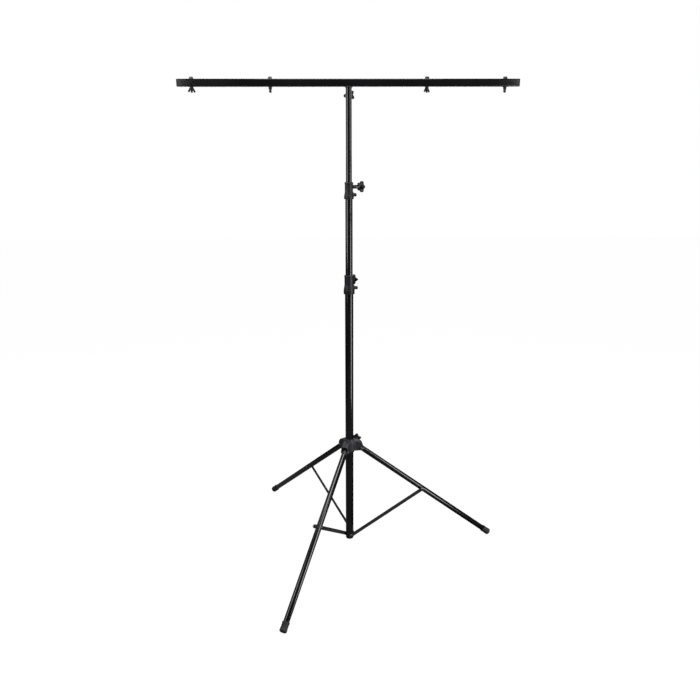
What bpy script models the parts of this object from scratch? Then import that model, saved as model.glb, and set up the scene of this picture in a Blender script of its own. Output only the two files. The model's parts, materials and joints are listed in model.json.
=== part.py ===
"""T-bar lighting stand: a tripod that folds on a sliding hub, a telescoping mast and a crossbar.

Lengths are in metres and angles in degrees. The stand is built around its mast axis, with the floor at z = 0,
and at the end it is moved so that the origin lies under the middle of its outline.
"""
import math

import bmesh
import bpy
from mathutils import Matrix, Vector

# Fits
GAP = 0.0003            # between two pieces that touch
SCREW_GAP = 0.0003      # round a screw in its hole
ROUND = 24              # sides of a tube
LEG_ROUND = 20          # sides of a leg and its foot
BOSS_ROUND = 16         # sides of a boss or a bolt
SMALL_ROUND = 12        # sides of a screw or a small hole
LOBE_SIDES = 6          # sides of each lobe of a star knob

# Mast tubes
TUBE_WALL = 0.0012
LOWER_TUBE_R = 0.016
MID_TUBE_R = 0.0135
UPPER_TUBE_R = 0.011
LOWER_TUBE_LENGTH = 1.0537
MID_TUBE_LENGTH = 0.989
UPPER_TUBE_LENGTH = 1.002
MID_TUBE_OUT = 0.342    # how far the middle tube stands out of the lower tube
UPPER_TUBE_OUT = 0.3537
PLUG_FLANGE = 0.008     # guide plugs at the tubes' lower ends
PLUG_SPIGOT = 0.030
PLUG_WALL = 0.0025

# Base fitting at the foot of the mast
MAST_FOOT_Z = 0.033
FITTING_HEIGHT = 0.028
FITTING_SPIGOT = 0.044
FITTING_BOSS_R = 0.008
STRUT_PIVOT_R = 0.003   # distance of a strut's lower pivot from the mast axis, along its leg
STRUT_PIVOT_UP = 0.017  # height of that pivot above the mast's foot
PIVOT_SCREW_R = 0.0029
PIVOT_SCREW_DEPTH = 0.010
PIVOT_HEAD_R = 0.0062
PIVOT_HEAD_HEIGHT = 0.0042

# Legs
LEG_TURN = 7.0          # azimuth of the first leg from the crossbar
LEG_SPREAD = 52.3       # angle of a leg from the vertical
LEG_LENGTH = 0.7118     # from the hub pivot to the end of the foot
LEG_TUBE_R = 0.011
LEG_TOP_LENGTH = 0.0137
LEG_TOP_SPIGOT = 0.026
LEG_NAMES = ("right", "back", "front")
FOOT_LENGTH = 0.036
FOOT_END_R = 0.0137
FOOT_BODY_R = 0.0130
FOOT_LIP_R = 0.0138
FOOT_LIP = 0.004
FOOT_CORNER = 0.006
FOOT_SOLE = 0.008       # rubber under the tube's end
FOOT_FLAT = 0.0013      # depth of the flat that the foot stands on

# Struts
STRUT_WIDTH = 0.015
STRUT_THICK = 0.0025
STRUT_CLEAR = 0.0008    # between a strut and the mast that it folds beside
STRUT_OVERHANG = 0.0025
LEG_JOINT = 0.324       # distance of the strut's joint from the hub pivot
JOINT_BOLT_R = 0.0029
SPACER_R = 0.0065
NUT_R = 0.0068
NUT_HEIGHT = 0.005

# Hub
HUB_PIVOT_R = 0.046
HUB_WALL = 0.0027
HUB_BUSH_WALL = 0.0007
HUB_BELOW = 0.0165      # sleeve below and above the leg pivots
HUB_ABOVE = 0.041
HUB_BODY_OUT = 0.0045   # how far the thick part between the hoods stands out of the sleeve
HUB_BODY_TOP = 0.029
HOOD_WALL = 0.003
HOOD_END_R = 0.054
HOOD_POCKET_R = 0.026
HOOD_BELOW = 0.009
HOOD_EDGE = 0.004
HUB_KNOB_TURN = 58.5    # about halfway between the first two legs
HUB_KNOB_UP = 0.0135
HUB_BOSS_R = 0.009
HUB_BOSS_END = 0.042
HUB_SLIDE_CLEAR = 0.0003

# Collars
COLLAR_LIP = 0.0025
COLLAR_BUSH_WALL = 0.0012
LOWER_COLLAR_BODY_R = 0.0176
LOWER_COLLAR_FLARE_R = 0.021
LOWER_COLLAR_GRIP = 0.039   # length that holds the lower tube
LOWER_COLLAR_ABOVE = 0.033  # length above the lower tube's end
UPPER_COLLAR_BODY_R = 0.0152
UPPER_COLLAR_FLARE_R = 0.0178
UPPER_COLLAR_GRIP = 0.0285
UPPER_COLLAR_ABOVE = 0.032
COLLAR_BOSS_R = 0.0072
LOWER_BOSS_END = 0.022
UPPER_BOSS_END = 0.0185
LOWER_KNOB_UP = 0.0085      # knob axis above the end of the tube that the collar grips
UPPER_KNOB_UP = 0.015
LOWER_KNOB_AZIMUTH = 74.0
UPPER_KNOB_AZIMUTH = 32.0
PEG_AZIMUTH = 0.0
PEG_R = 0.0065
PEG_ROOT_R = 0.0100         # the peg widens to this where it leaves the collar
LOWER_PEG_END = 0.0255
UPPER_PEG_END = 0.0205
PEG_CAP_LENGTH = 0.0075
LOWER_PEG_DOWN = 0.015
UPPER_PEG_DOWN = 0.013

# Star knobs
KNOB_R = 0.0165         # middle radius, which the lobes rise over and the hollows fall under
KNOB_LOBE = 0.0042
KNOB_LOBES = 5
KNOB_THICK = 0.014
KNOB_NECK_R = 0.0067        # neck between the star and its boss
KNOB_FLARE_R = 0.0090       # the neck widens to this at the star
KNOB_FLARE = 0.006
STUD_R = 0.0029
STUD_IN_KNOB = 0.016
COLLAR_KNOB_AT = 0.047      # distance of the star's inner face from the mast axis
COLLAR_KNOB_LOBE = 18.0     # angle from the vertical to a lobe
HUB_KNOB_AT = 0.065
HUB_KNOB_LOBE = 3.0
BAR_KNOB_AT = 0.043
BAR_KNOB_LOBE = 47.0
BAR_KNOB_DOWN = 0.0205      # knob axis below the upper tube's end
BAR_KNOB_AZIMUTH = 87.0
BAR_BOSS_R = 0.0075
BAR_BOSS_END = 0.020

# Crossbar
BAR_LENGTH = 1.2
BAR_SIZE = 0.025
BAR_WALL = 0.0015
BAR_EDGE = 0.002
CAP_FLANGE = 0.003
CAP_PLUG = 0.016
SPIGOT_FLANGE_R = 0.0135
SPIGOT_FLANGE = 0.003
SPIGOT_LENGTH = 0.070
SPIGOT_WALL = 0.002
BOLT_PLACES = (-0.55, -0.275, 0.275, 0.55)
BOLT_R = 0.0039
BOLT_HEAD_FLATS = 0.013
BOLT_HEAD_HEIGHT = 0.0055
BOLT_OUT = 0.020            # bolt below the bar
WASHER_R = 0.0085
WASHER_THICK = 0.0016
WING_TURNS = (38.0, 86.0, 36.0, 57.0)
WING_HUB_R = 0.007
WING_HUB_TIP_R = 0.0055
WING_HUB_HEIGHT = 0.009
WING_THICK = 0.0026
WING_ROOT = (0.0058, 0.0050)
WING_ROOT_R = 0.0036
WING_TIP = (0.0115, 0.0140)
WING_TIP_R = 0.0034

# Derived places
SPREAD = math.radians(LEG_SPREAD)
FOOT_END_Z = ((FOOT_END_R - FOOT_CORNER) * math.sin(SPREAD) + FOOT_CORNER * (1 - math.cos(SPREAD))
              - FOOT_FLAT)
HUB_PIVOT_Z = FOOT_END_Z + LEG_LENGTH * math.cos(SPREAD)
STRUT_PIVOT_Z = MAST_FOOT_Z + STRUT_PIVOT_UP
LOWER_TUBE_Z = MAST_FOOT_Z + FITTING_HEIGHT + GAP
LOWER_TUBE_TOP = LOWER_TUBE_Z + LOWER_TUBE_LENGTH
MID_TUBE_TOP = LOWER_TUBE_TOP + MID_TUBE_OUT
UPPER_TUBE_TOP = MID_TUBE_TOP + UPPER_TUBE_OUT
BAR_Z = UPPER_TUBE_TOP + GAP + SPIGOT_FLANGE + GAP + BAR_SIZE / 2
STRUT_INNER = LOWER_TUBE_R + STRUT_CLEAR    # side offset of a strut's inner face
STRUT_OUTER = STRUT_INNER + STRUT_THICK
HUB_SLEEVE_R = LOWER_TUBE_R + HUB_SLIDE_CLEAR + HUB_BUSH_WALL + GAP + HUB_WALL
HOOD_SIDE = LEG_TUBE_R + 0.0004             # inner face of a hood's cheek
HOOD_HALF = HOOD_SIDE + HOOD_WALL

PAINT = ("black_paint", (0.012, 0.013, 0.015), 0.35, 0.0)
PLASTIC = ("dark_plastic", (0.045, 0.047, 0.052), 0.55, 0.0)
KNOB_PLASTIC = ("knob_plastic", (0.016, 0.016, 0.018), 0.45, 0.0)
RUBBER = ("rubber", (0.03, 0.03, 0.032), 0.85, 0.0)
STEEL = ("blackened_steel", (0.06, 0.06, 0.065), 0.4, 0.8)


def clear_scene():
    for item in list(bpy.data.objects):
        bpy.data.objects.remove(item, do_unlink=True)


def material(name, colour, roughness, metallic, suffix):
    """One material for one piece."""
    made = bpy.data.materials.new(f"{name}_{suffix}")
    made.use_nodes = True
    shader = made.node_tree.nodes["Principled BSDF"]
    shader.inputs["Base Color"].default_value = (*colour, 1.0)
    shader.inputs["Roughness"].default_value = roughness
    shader.inputs["Metallic"].default_value = metallic
    return made


def empty(name, parent, matrix):
    """A frame that pieces are parented to. Its origin lies on a joint's axis."""
    made = bpy.data.objects.new(name, None)
    bpy.context.scene.collection.objects.link(made)
    made.parent = parent
    made.matrix_local = matrix
    return made


def along(origin, direction, side):
    """A matrix whose Z runs along direction and whose X leans towards side."""
    z_axis = Vector(direction).normalized()
    x_axis = (Vector(side) - z_axis * Vector(side).dot(z_axis)).normalized()
    y_axis = z_axis.cross(x_axis)
    turn = Matrix((x_axis, y_axis, z_axis)).transposed().to_4x4()
    return Matrix.Translation(Vector(origin)) @ turn


def outward(azimuth, height=0.0):
    """A frame on the mast axis whose Z points away from the mast at an azimuth, with X up."""
    angle = math.radians(azimuth)
    return along((0, 0, height), (math.cos(angle), math.sin(angle), 0), (0, 0, 1))


def mesh_object(name, mesh_data, matrix):
    """A loose object from a bmesh, with its faces turned out."""
    bmesh.ops.remove_doubles(mesh_data, verts=mesh_data.verts, dist=1e-7)
    bmesh.ops.recalc_face_normals(mesh_data, faces=mesh_data.faces)
    mesh = bpy.data.meshes.new(name)
    mesh_data.to_mesh(mesh)
    mesh_data.free()
    made = bpy.data.objects.new(name, mesh)
    bpy.context.scene.collection.objects.link(made)
    made.matrix_world = matrix
    return made


def loft(name, rings, matrix=Matrix()):
    """A closed body through rings of points. A ring of one point is a pole."""
    body = bmesh.new()
    made = [[body.verts.new(point) for point in ring] for ring in rings]
    closed = len(rings[0]) > 1
    pairs = list(zip(made, made[1:])) + ([(made[-1], made[0])] if closed else [])
    for first, second in pairs:
        count = max(len(first), len(second))
        for i in range(count):
            j = (i + 1) % count
            corners = []
            for ring, index in ((first, i), (first, j), (second, j), (second, i)):
                vert = ring[index % len(ring)]
                if vert not in corners:
                    corners.append(vert)
            body.faces.new(corners)
    return mesh_object(name, body, matrix)


def circle(radius, height, count):
    if radius == 0:
        return [(0, 0, height)]
    return [(radius * math.cos(2 * math.pi * i / count), radius * math.sin(2 * math.pi * i / count), height)
            for i in range(count)]


def turned(name, profile, matrix=Matrix(), count=ROUND):
    """A turned body. The profile is (radius, height) from pole to pole, or a closed loop off the axis."""
    return loft(name, [circle(radius, height, count) for radius, height in profile], matrix)


def tube(name, radius, bore, low, high, matrix=Matrix(), count=ROUND):
    profile = [(bore, low), (radius, low), (radius, high), (bore, high)]
    return turned(name, profile, matrix, count)


def rod(name, radius, low, high, matrix=Matrix(), count=SMALL_ROUND):
    return turned(name, [(0, low), (radius, low), (radius, high), (0, high)], matrix, count)


def prism(name, outline, low, high, matrix=Matrix()):
    """An outline in X and Y, extruded along Z."""
    body = bmesh.new()
    face = body.faces.new([body.verts.new((x, y, low)) for x, y in outline])
    side = bmesh.ops.extrude_face_region(body, geom=[face])
    moved = [item for item in side["geom"] if isinstance(item, bmesh.types.BMVert)]
    bmesh.ops.translate(body, verts=moved, vec=(0, 0, high - low))
    return mesh_object(name, body, matrix)


def box(name, corner, opposite, matrix=Matrix()):
    (x0, y0, z0), (x1, y1, z1) = corner, opposite
    return prism(name, [(x0, y0), (x1, y0), (x1, y1), (x0, y1)], z0, z1, matrix)


def capsule(first, first_r, second, second_r, steps=6):
    """The outline of two circles and their common tangents."""
    start = Vector(first)
    reach = Vector(second) - start
    heading = math.atan2(reach.y, reach.x)
    lean = math.acos((first_r - second_r) / reach.length)
    points = []
    for centre, radius, begin, end in (
            (start, first_r, heading + lean, heading + 2 * math.pi - lean),
            (Vector(second), second_r, heading - lean, heading + lean)):
        for i in range(steps + 1):
            angle = begin + (end - begin) * i / steps
            points.append((centre.x + radius * math.cos(angle), centre.y + radius * math.sin(angle)))
    return points


def hexagon(flats, height):
    radius = flats / math.sqrt(3)
    return [(radius * math.cos(math.radians(60 * i)), radius * math.sin(math.radians(60 * i)), height)
            for i in range(6)]


def applied(target):
    """Replace a body's mesh by what its modifiers make of it."""
    bpy.context.view_layer.update()
    seen = target.evaluated_get(bpy.context.evaluated_depsgraph_get())
    mesh = bpy.data.meshes.new_from_object(seen)
    target.modifiers.clear()
    target.data = mesh
    return target


def boolean(target, others, operation):
    for other in others:
        step = target.modifiers.new(operation.lower(), "BOOLEAN")
        step.operation = operation
        step.object = other
        step.solver = "EXACT"
    applied(target)
    for other in others:
        bpy.data.objects.remove(other, do_unlink=True)
    return target


def cut(target, *others):
    return boolean(target, others, "DIFFERENCE")


def fuse(target, *others):
    return boolean(target, others, "UNION")


def bevelled(target, width, segments, wanted=lambda edge: True):
    body = bmesh.new()
    body.from_mesh(target.data)
    edges = [edge for edge in body.edges if wanted(edge)]
    bmesh.ops.bevel(body, geom=edges, offset=width, segments=segments, affect="EDGES", profile=0.5)
    body.to_mesh(target.data)
    body.free()
    return target


def finish(name, made, parent, look):
    """Name a body, hang it on its frame, and give it a material and smooth shading."""
    made.name = name
    made.data.name = name
    made.data.materials.clear()
    made.data.materials.append(material(*look, name))
    place = made.matrix_world.copy()
    made.parent = parent
    made.matrix_parent_inverse = Matrix()
    made.matrix_local = place
    made.data.shade_smooth()
    made.data.set_sharp_from_angle(angle=math.radians(35))
    return made


def knob(name, parent, place, lobe_turn, tip_at, boss_end, face_at):
    """A star knob on its stud, in a frame whose Z points away from the mast and X along a lobe."""
    frame = empty(f"{name}_frame", parent, place @ Matrix.Rotation(math.radians(lobe_turn), 4, "Z"))
    count = KNOB_LOBES * LOBE_SIDES

    def star(scale, at):
        ring = []
        for i in range(count):
            angle = 2 * math.pi * (i + 0.5) / count
            radius = scale * (KNOB_R + KNOB_LOBE * math.cos(KNOB_LOBES * angle))
            ring.append((radius * math.cos(angle), radius * math.sin(angle), at))
        return ring

    neck = boss_end + GAP
    bore = STUD_R + SCREW_GAP
    bore_end = neck + STUD_IN_KNOB
    rings = [
        circle(0, bore_end, count),
        circle(bore, bore_end, count),
        circle(bore, neck, count),
        circle(KNOB_NECK_R, neck, count),
        circle(KNOB_NECK_R, face_at - KNOB_FLARE, count),
        circle(KNOB_FLARE_R, face_at, count),
        star(0.88, face_at),
        star(1.0, face_at + KNOB_THICK * 0.18),
        star(1.0, face_at + KNOB_THICK * 0.8),
        star(0.88, face_at + KNOB_THICK),
        circle(0, face_at + KNOB_THICK, count),
    ]
    finish(f"{name}_star", loft(name, rings), frame, KNOB_PLASTIC)
    stud = rod(name, STUD_R, tip_at, bore_end - GAP)
    finish(f"{name}_stud", stud, frame, STEEL)
    return frame


def build_base(stand):
    """The plug at the mast's foot, and the screws that the struts turn on."""
    top = MAST_FOOT_Z + FITTING_HEIGHT
    spigot_r = LOWER_TUBE_R - TUBE_WALL - GAP
    edge = 0.0015
    body = turned("base", [
        (0, MAST_FOOT_Z), (LOWER_TUBE_R - edge, MAST_FOOT_Z), (LOWER_TUBE_R, MAST_FOOT_Z + edge),
        (LOWER_TUBE_R, top), (spigot_r, top), (spigot_r, top + FITTING_SPIGOT), (0, top + FITTING_SPIGOT)])
    bosses, holes = [], []
    for index in range(3):
        frame = strut_matrix(index)
        face = STRUT_INNER - GAP
        bosses.append(rod("boss", FITTING_BOSS_R, face - 0.008, face, frame, BOSS_ROUND))
        deep = face - PIVOT_SCREW_DEPTH
        holes.append(rod("hole", PIVOT_SCREW_R + SCREW_GAP, deep, face + 0.01, frame))
        head = STRUT_OUTER + GAP
        screw = turned("screw", [
            (0, deep + GAP), (PIVOT_SCREW_R, deep + GAP), (PIVOT_SCREW_R, head), (PIVOT_HEAD_R, head),
            (PIVOT_HEAD_R, head + PIVOT_HEAD_HEIGHT * 0.5), (PIVOT_HEAD_R * 0.7, head + PIVOT_HEAD_HEIGHT),
            (0, head + PIVOT_HEAD_HEIGHT)], frame, SMALL_ROUND)
        finish(f"base_pivot_screw_{LEG_NAMES[index]}", screw, stand, STEEL)
    fuse(body, *bosses)
    cut(body, *holes)
    finish("base_fitting", body, stand, PLASTIC)


def leg_direction(index):
    angle = math.radians(LEG_TURN + 120 * index)
    return Vector((math.cos(angle), math.sin(angle), 0))


def strut_matrix(index):
    """A frame at a strut's lower pivot. Z runs along the pivot, out of the strut's free side."""
    radial = leg_direction(index)
    pivot = Vector((0, 0, 1)).cross(radial)
    return along(radial * STRUT_PIVOT_R + Vector((0, 0, STRUT_PIVOT_Z)), -pivot, (0, 0, 1))


def build_mast(stand):
    """The lower tube and its collar."""
    bore = LOWER_TUBE_R - TUBE_WALL
    lower = tube("tube", LOWER_TUBE_R, bore, LOWER_TUBE_Z, LOWER_TUBE_TOP)
    peg_hole = rod("hole", PEG_R * 0.35 + SCREW_GAP, 0, LOWER_TUBE_R * 2,
                   outward(PEG_AZIMUTH, LOWER_TUBE_TOP - LOWER_PEG_DOWN))
    finish("lower_tube", cut(lower, peg_hole), stand, PAINT)
    build_collar("lower", stand, LOWER_TUBE_TOP, LOWER_TUBE_R, MID_TUBE_R, LOWER_COLLAR_BODY_R,
                 LOWER_COLLAR_FLARE_R, LOWER_COLLAR_GRIP, LOWER_COLLAR_ABOVE, LOWER_KNOB_AZIMUTH,
                 LOWER_KNOB_UP, LOWER_BOSS_END, LOWER_PEG_END, LOWER_PEG_DOWN)


def build_collar(name, parent, tube_top, outer_r, inner_r, body_r, flare_r, grip, above, knob_azimuth,
                 knob_up, boss_end, peg_end, peg_down):
    """A collar on a tube's end, its bush, its fixing screw and its knob."""
    low = tube_top - grip
    high = tube_top + above
    lip = high - COLLAR_LIP
    bush_r = inner_r + GAP + COLLAR_BUSH_WALL
    edge = 0.0012
    body = turned("collar", [
        (0, low), (flare_r - edge * 1.5, low), (flare_r, low + edge * 2),
        (flare_r, low + grip * 0.42), (flare_r - (flare_r - body_r) * 0.4, low + grip * 0.66),
        (body_r, low + grip * 0.92), (body_r, lip - 0.005), (body_r + 0.0007, lip - 0.004),
        (body_r + 0.0007, high - edge), (body_r - edge, high), (0, high)])
    knob_frame = outward(knob_azimuth, tube_top + knob_up)
    peg_frame = outward(PEG_AZIMUTH, tube_top - peg_down)
    boss_foot = inner_r + 0.001
    boss = turned("boss", [
        (0, boss_foot), (COLLAR_BOSS_R, boss_foot), (COLLAR_BOSS_R, boss_end - 0.001),
        (COLLAR_BOSS_R - 0.001, boss_end), (0, boss_end)], knob_frame, BOSS_ROUND)
    peg = turned("peg", [
        (0, outer_r + 0.001), (PEG_ROOT_R, outer_r + 0.001), (PEG_R, flare_r + 0.0015), (PEG_R, peg_end),
        (0, peg_end)], peg_frame, BOSS_ROUND)
    fuse(body, boss, peg)
    bore = turned("bore", [
        (0, low - 0.01), (outer_r + GAP, low - 0.01), (outer_r + GAP, tube_top + GAP),
        (bush_r + GAP, tube_top + GAP), (bush_r + GAP, lip), (inner_r + GAP, lip),
        (inner_r + GAP, high + 0.01), (0, high + 0.01)])
    stud_hole = rod("hole", STUD_R + SCREW_GAP, 0, boss_end + 0.01, knob_frame)
    screw_r = PEG_R * 0.35
    peg_hole = rod("hole", screw_r + SCREW_GAP, 0, peg_end + 0.01, peg_frame)
    cut(body, bore, stud_hole, peg_hole)
    finish(f"{name}_collar", body, parent, PLASTIC)
    bush = tube("bush", bush_r, inner_r + GAP, tube_top + 2 * GAP, lip - GAP)
    bush_hole = rod("hole", STUD_R + SCREW_GAP, 0, boss_end, knob_frame)
    finish(f"{name}_collar_bush", cut(bush, bush_hole), parent, PLASTIC)
    tip = outer_r - TUBE_WALL + GAP
    cap_at = peg_end + GAP
    screw = turned("screw", [
        (0, tip), (screw_r, tip), (screw_r, cap_at), (PEG_R * 0.92, cap_at),
        (PEG_R * 0.96, cap_at + PEG_CAP_LENGTH * 0.2), (PEG_R * 0.9, cap_at + PEG_CAP_LENGTH * 0.62),
        (PEG_R * 0.6, cap_at + PEG_CAP_LENGTH * 0.92), (0, cap_at + PEG_CAP_LENGTH)],
        peg_frame, BOSS_ROUND)
    finish(f"{name}_collar_screw", screw, parent, KNOB_PLASTIC)
    knob(f"{name}_knob", parent, knob_frame, COLLAR_KNOB_LOBE, inner_r + GAP, boss_end, COLLAR_KNOB_AT)


def guide_plug(name, parent, tube_r, outer_bore, tube_low):
    """A plug in a tube's lower end, whose flange runs in the tube outside it."""
    flange_r = outer_bore - 2 * GAP
    spigot_r = tube_r - TUBE_WALL - GAP
    plug = turned("plug", [
        (spigot_r - PLUG_WALL, tube_low - GAP - PLUG_FLANGE), (flange_r, tube_low - GAP - PLUG_FLANGE),
        (flange_r, tube_low - GAP), (spigot_r, tube_low - GAP), (spigot_r, tube_low + PLUG_SPIGOT),
        (spigot_r - PLUG_WALL, tube_low + PLUG_SPIGOT)], count=BOSS_ROUND)
    finish(name, plug, parent, PLASTIC)


def build_mid_mast(stand):
    frame = empty("mid_mast_frame", stand, Matrix())
    low = MID_TUBE_TOP - MID_TUBE_LENGTH
    middle = tube("tube", MID_TUBE_R, MID_TUBE_R - TUBE_WALL, low, MID_TUBE_TOP)
    peg_hole = rod("hole", PEG_R * 0.35 + SCREW_GAP, 0, MID_TUBE_R * 2,
                   outward(PEG_AZIMUTH, MID_TUBE_TOP - UPPER_PEG_DOWN))
    finish("mid_tube", cut(middle, peg_hole), frame, PAINT)
    guide_plug("mid_tube_plug", frame, MID_TUBE_R, LOWER_TUBE_R - TUBE_WALL, low)
    build_collar("upper", frame, MID_TUBE_TOP, MID_TUBE_R, UPPER_TUBE_R, UPPER_COLLAR_BODY_R,
                 UPPER_COLLAR_FLARE_R, UPPER_COLLAR_GRIP, UPPER_COLLAR_ABOVE, UPPER_KNOB_AZIMUTH,
                 UPPER_KNOB_UP, UPPER_BOSS_END, UPPER_PEG_END, UPPER_PEG_DOWN)
    return frame


def build_top_mast(mid_frame):
    """The upper tube with the boss for the crossbar's clamp knob."""
    frame = empty("top_mast_frame", mid_frame, Matrix())
    low = UPPER_TUBE_TOP - UPPER_TUBE_LENGTH
    bore = UPPER_TUBE_R - TUBE_WALL
    clamp = outward(BAR_KNOB_AZIMUTH, UPPER_TUBE_TOP - BAR_KNOB_DOWN)
    body = rod("tube", UPPER_TUBE_R, low, UPPER_TUBE_TOP, count=ROUND)
    fuse(body, rod("boss", BAR_BOSS_R, UPPER_TUBE_R * 0.5, BAR_BOSS_END, clamp, BOSS_ROUND))
    cut(body, rod("bore", bore, low - 0.01, UPPER_TUBE_TOP + 0.01, count=ROUND),
        rod("hole", STUD_R + SCREW_GAP, 0, BAR_BOSS_END + 0.01, clamp))
    finish("upper_tube", body, frame, PAINT)
    guide_plug("upper_tube_plug", frame, UPPER_TUBE_R, MID_TUBE_R - TUBE_WALL, low)
    knob("bar_knob", frame, clamp, BAR_KNOB_LOBE, bore, BAR_BOSS_END, BAR_KNOB_AT)
    return frame


def build_crossbar(top_frame):
    """The bar, its end caps and spigot, and the bolts that hang through it."""
    frame = empty("crossbar_frame", top_frame, Matrix.Translation((0, 0, BAR_Z)))
    half = BAR_SIZE / 2
    bar_end = BAR_LENGTH / 2 - CAP_FLANGE - GAP
    inner = half - BAR_WALL
    bar = box("bar", (-bar_end, -half, -half), (bar_end, half, half))
    bevelled(bar, BAR_EDGE, 2, lambda edge: abs((edge.verts[0].co - edge.verts[1].co).x) > bar_end)
    cutters = [box("inside", (-bar_end - 0.01, -inner, -inner), (bar_end + 0.01, inner, inner))]
    for place in BOLT_PLACES:
        cutters.append(rod("hole", BOLT_R + SCREW_GAP, -half - 0.01, half + 0.01,
                           Matrix.Translation((place, 0, 0))))
    finish("cross_bar", cut(bar, *cutters), frame, PAINT)

    for side, sign in (("left", -1), ("right", 1)):
        plug = inner - GAP
        cap = box("cap", (bar_end + GAP, -half, -half), (BAR_LENGTH / 2, half, half))
        bevelled(cap, BAR_EDGE * 0.6, 1)
        fuse(cap, box("plug", (bar_end - CAP_PLUG, -plug, -plug), (bar_end + CAP_FLANGE / 2, plug, plug)))
        cut(cap, box("hollow", (bar_end - CAP_PLUG - 0.01, -plug + BAR_WALL, -plug + BAR_WALL),
                     (bar_end, plug - BAR_WALL, plug - BAR_WALL)))
        cap.matrix_world = Matrix.Rotation(0 if sign > 0 else math.pi, 4, "Z")
        finish(f"end_cap_{side}", cap, frame, KNOB_PLASTIC)

    spigot_r = UPPER_TUBE_R - TUBE_WALL - GAP
    top = -half - GAP
    flange = top - SPIGOT_FLANGE
    bottom = flange - SPIGOT_LENGTH
    spigot = turned("spigot", [
        (0, top), (SPIGOT_FLANGE_R, top), (SPIGOT_FLANGE_R, flange + 0.0008),
        (SPIGOT_FLANGE_R - 0.0008, flange), (spigot_r, flange), (spigot_r, bottom),
        (spigot_r - SPIGOT_WALL, bottom),
        (spigot_r - SPIGOT_WALL, flange), (0, flange)])
    finish("bar_spigot", spigot, frame, PAINT)

    seat = half + GAP
    head = seat + WASHER_THICK
    for index, place in enumerate(BOLT_PLACES):
        at = Matrix.Translation((place, 0, 0))
        shank = turned("bolt", [
            (0, -half - BOLT_OUT), (BOLT_R, -half - BOLT_OUT), (BOLT_R, seat), (WASHER_R, seat),
            (WASHER_R, head), (0, head)], at, BOSS_ROUND)
        low, high = head - WASHER_THICK / 2, head + BOLT_HEAD_HEIGHT
        rings = [[(0, 0, low)], hexagon(BOLT_HEAD_FLATS, low), hexagon(BOLT_HEAD_FLATS, high), [(0, 0, high)]]
        finish(f"hanging_bolt_{index + 1}", fuse(shank, loft("head", rings, at)), frame, STEEL)
        build_wing_nut(f"wing_nut_{index + 1}", frame, place, WING_TURNS[index])
    return frame


def build_wing_nut(name, parent, place, turn):
    """A wing nut under the bar, with its wings pointing down. Its frame's Z points down."""
    under = -BAR_SIZE / 2 - GAP
    place_matrix = Matrix.Translation((place, 0, under)) @ Matrix.Rotation(math.radians(turn), 4, "Z")
    frame = empty(f"{name}_frame", parent, place_matrix @ Matrix.Rotation(math.pi, 4, "X"))
    nut = turned("nut", [
        (0, 0), (WASHER_R, 0), (WASHER_R, WASHER_THICK), (WING_HUB_R, WASHER_THICK),
        (WING_HUB_TIP_R, WASHER_THICK + WING_HUB_HEIGHT), (0, WASHER_THICK + WING_HUB_HEIGHT)],
        count=BOSS_ROUND)
    wings = []
    for sign in (-1, 1):
        outline = capsule((sign * WING_ROOT[0], WASHER_THICK + WING_ROOT[1]), WING_ROOT_R,
                          (sign * WING_TIP[0], WASHER_THICK + WING_TIP[1]), WING_TIP_R)
        upright = Matrix.Rotation(math.pi / 2, 4, "X")
        wings.append(prism("wing", outline, -WING_THICK / 2, WING_THICK / 2, upright))
    fuse(nut, *wings)
    cut(nut, rod("bore", BOLT_R + SCREW_GAP, -0.01, WING_HUB_HEIGHT + 0.02, count=BOSS_ROUND))
    finish(name, nut, frame, STEEL)


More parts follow.
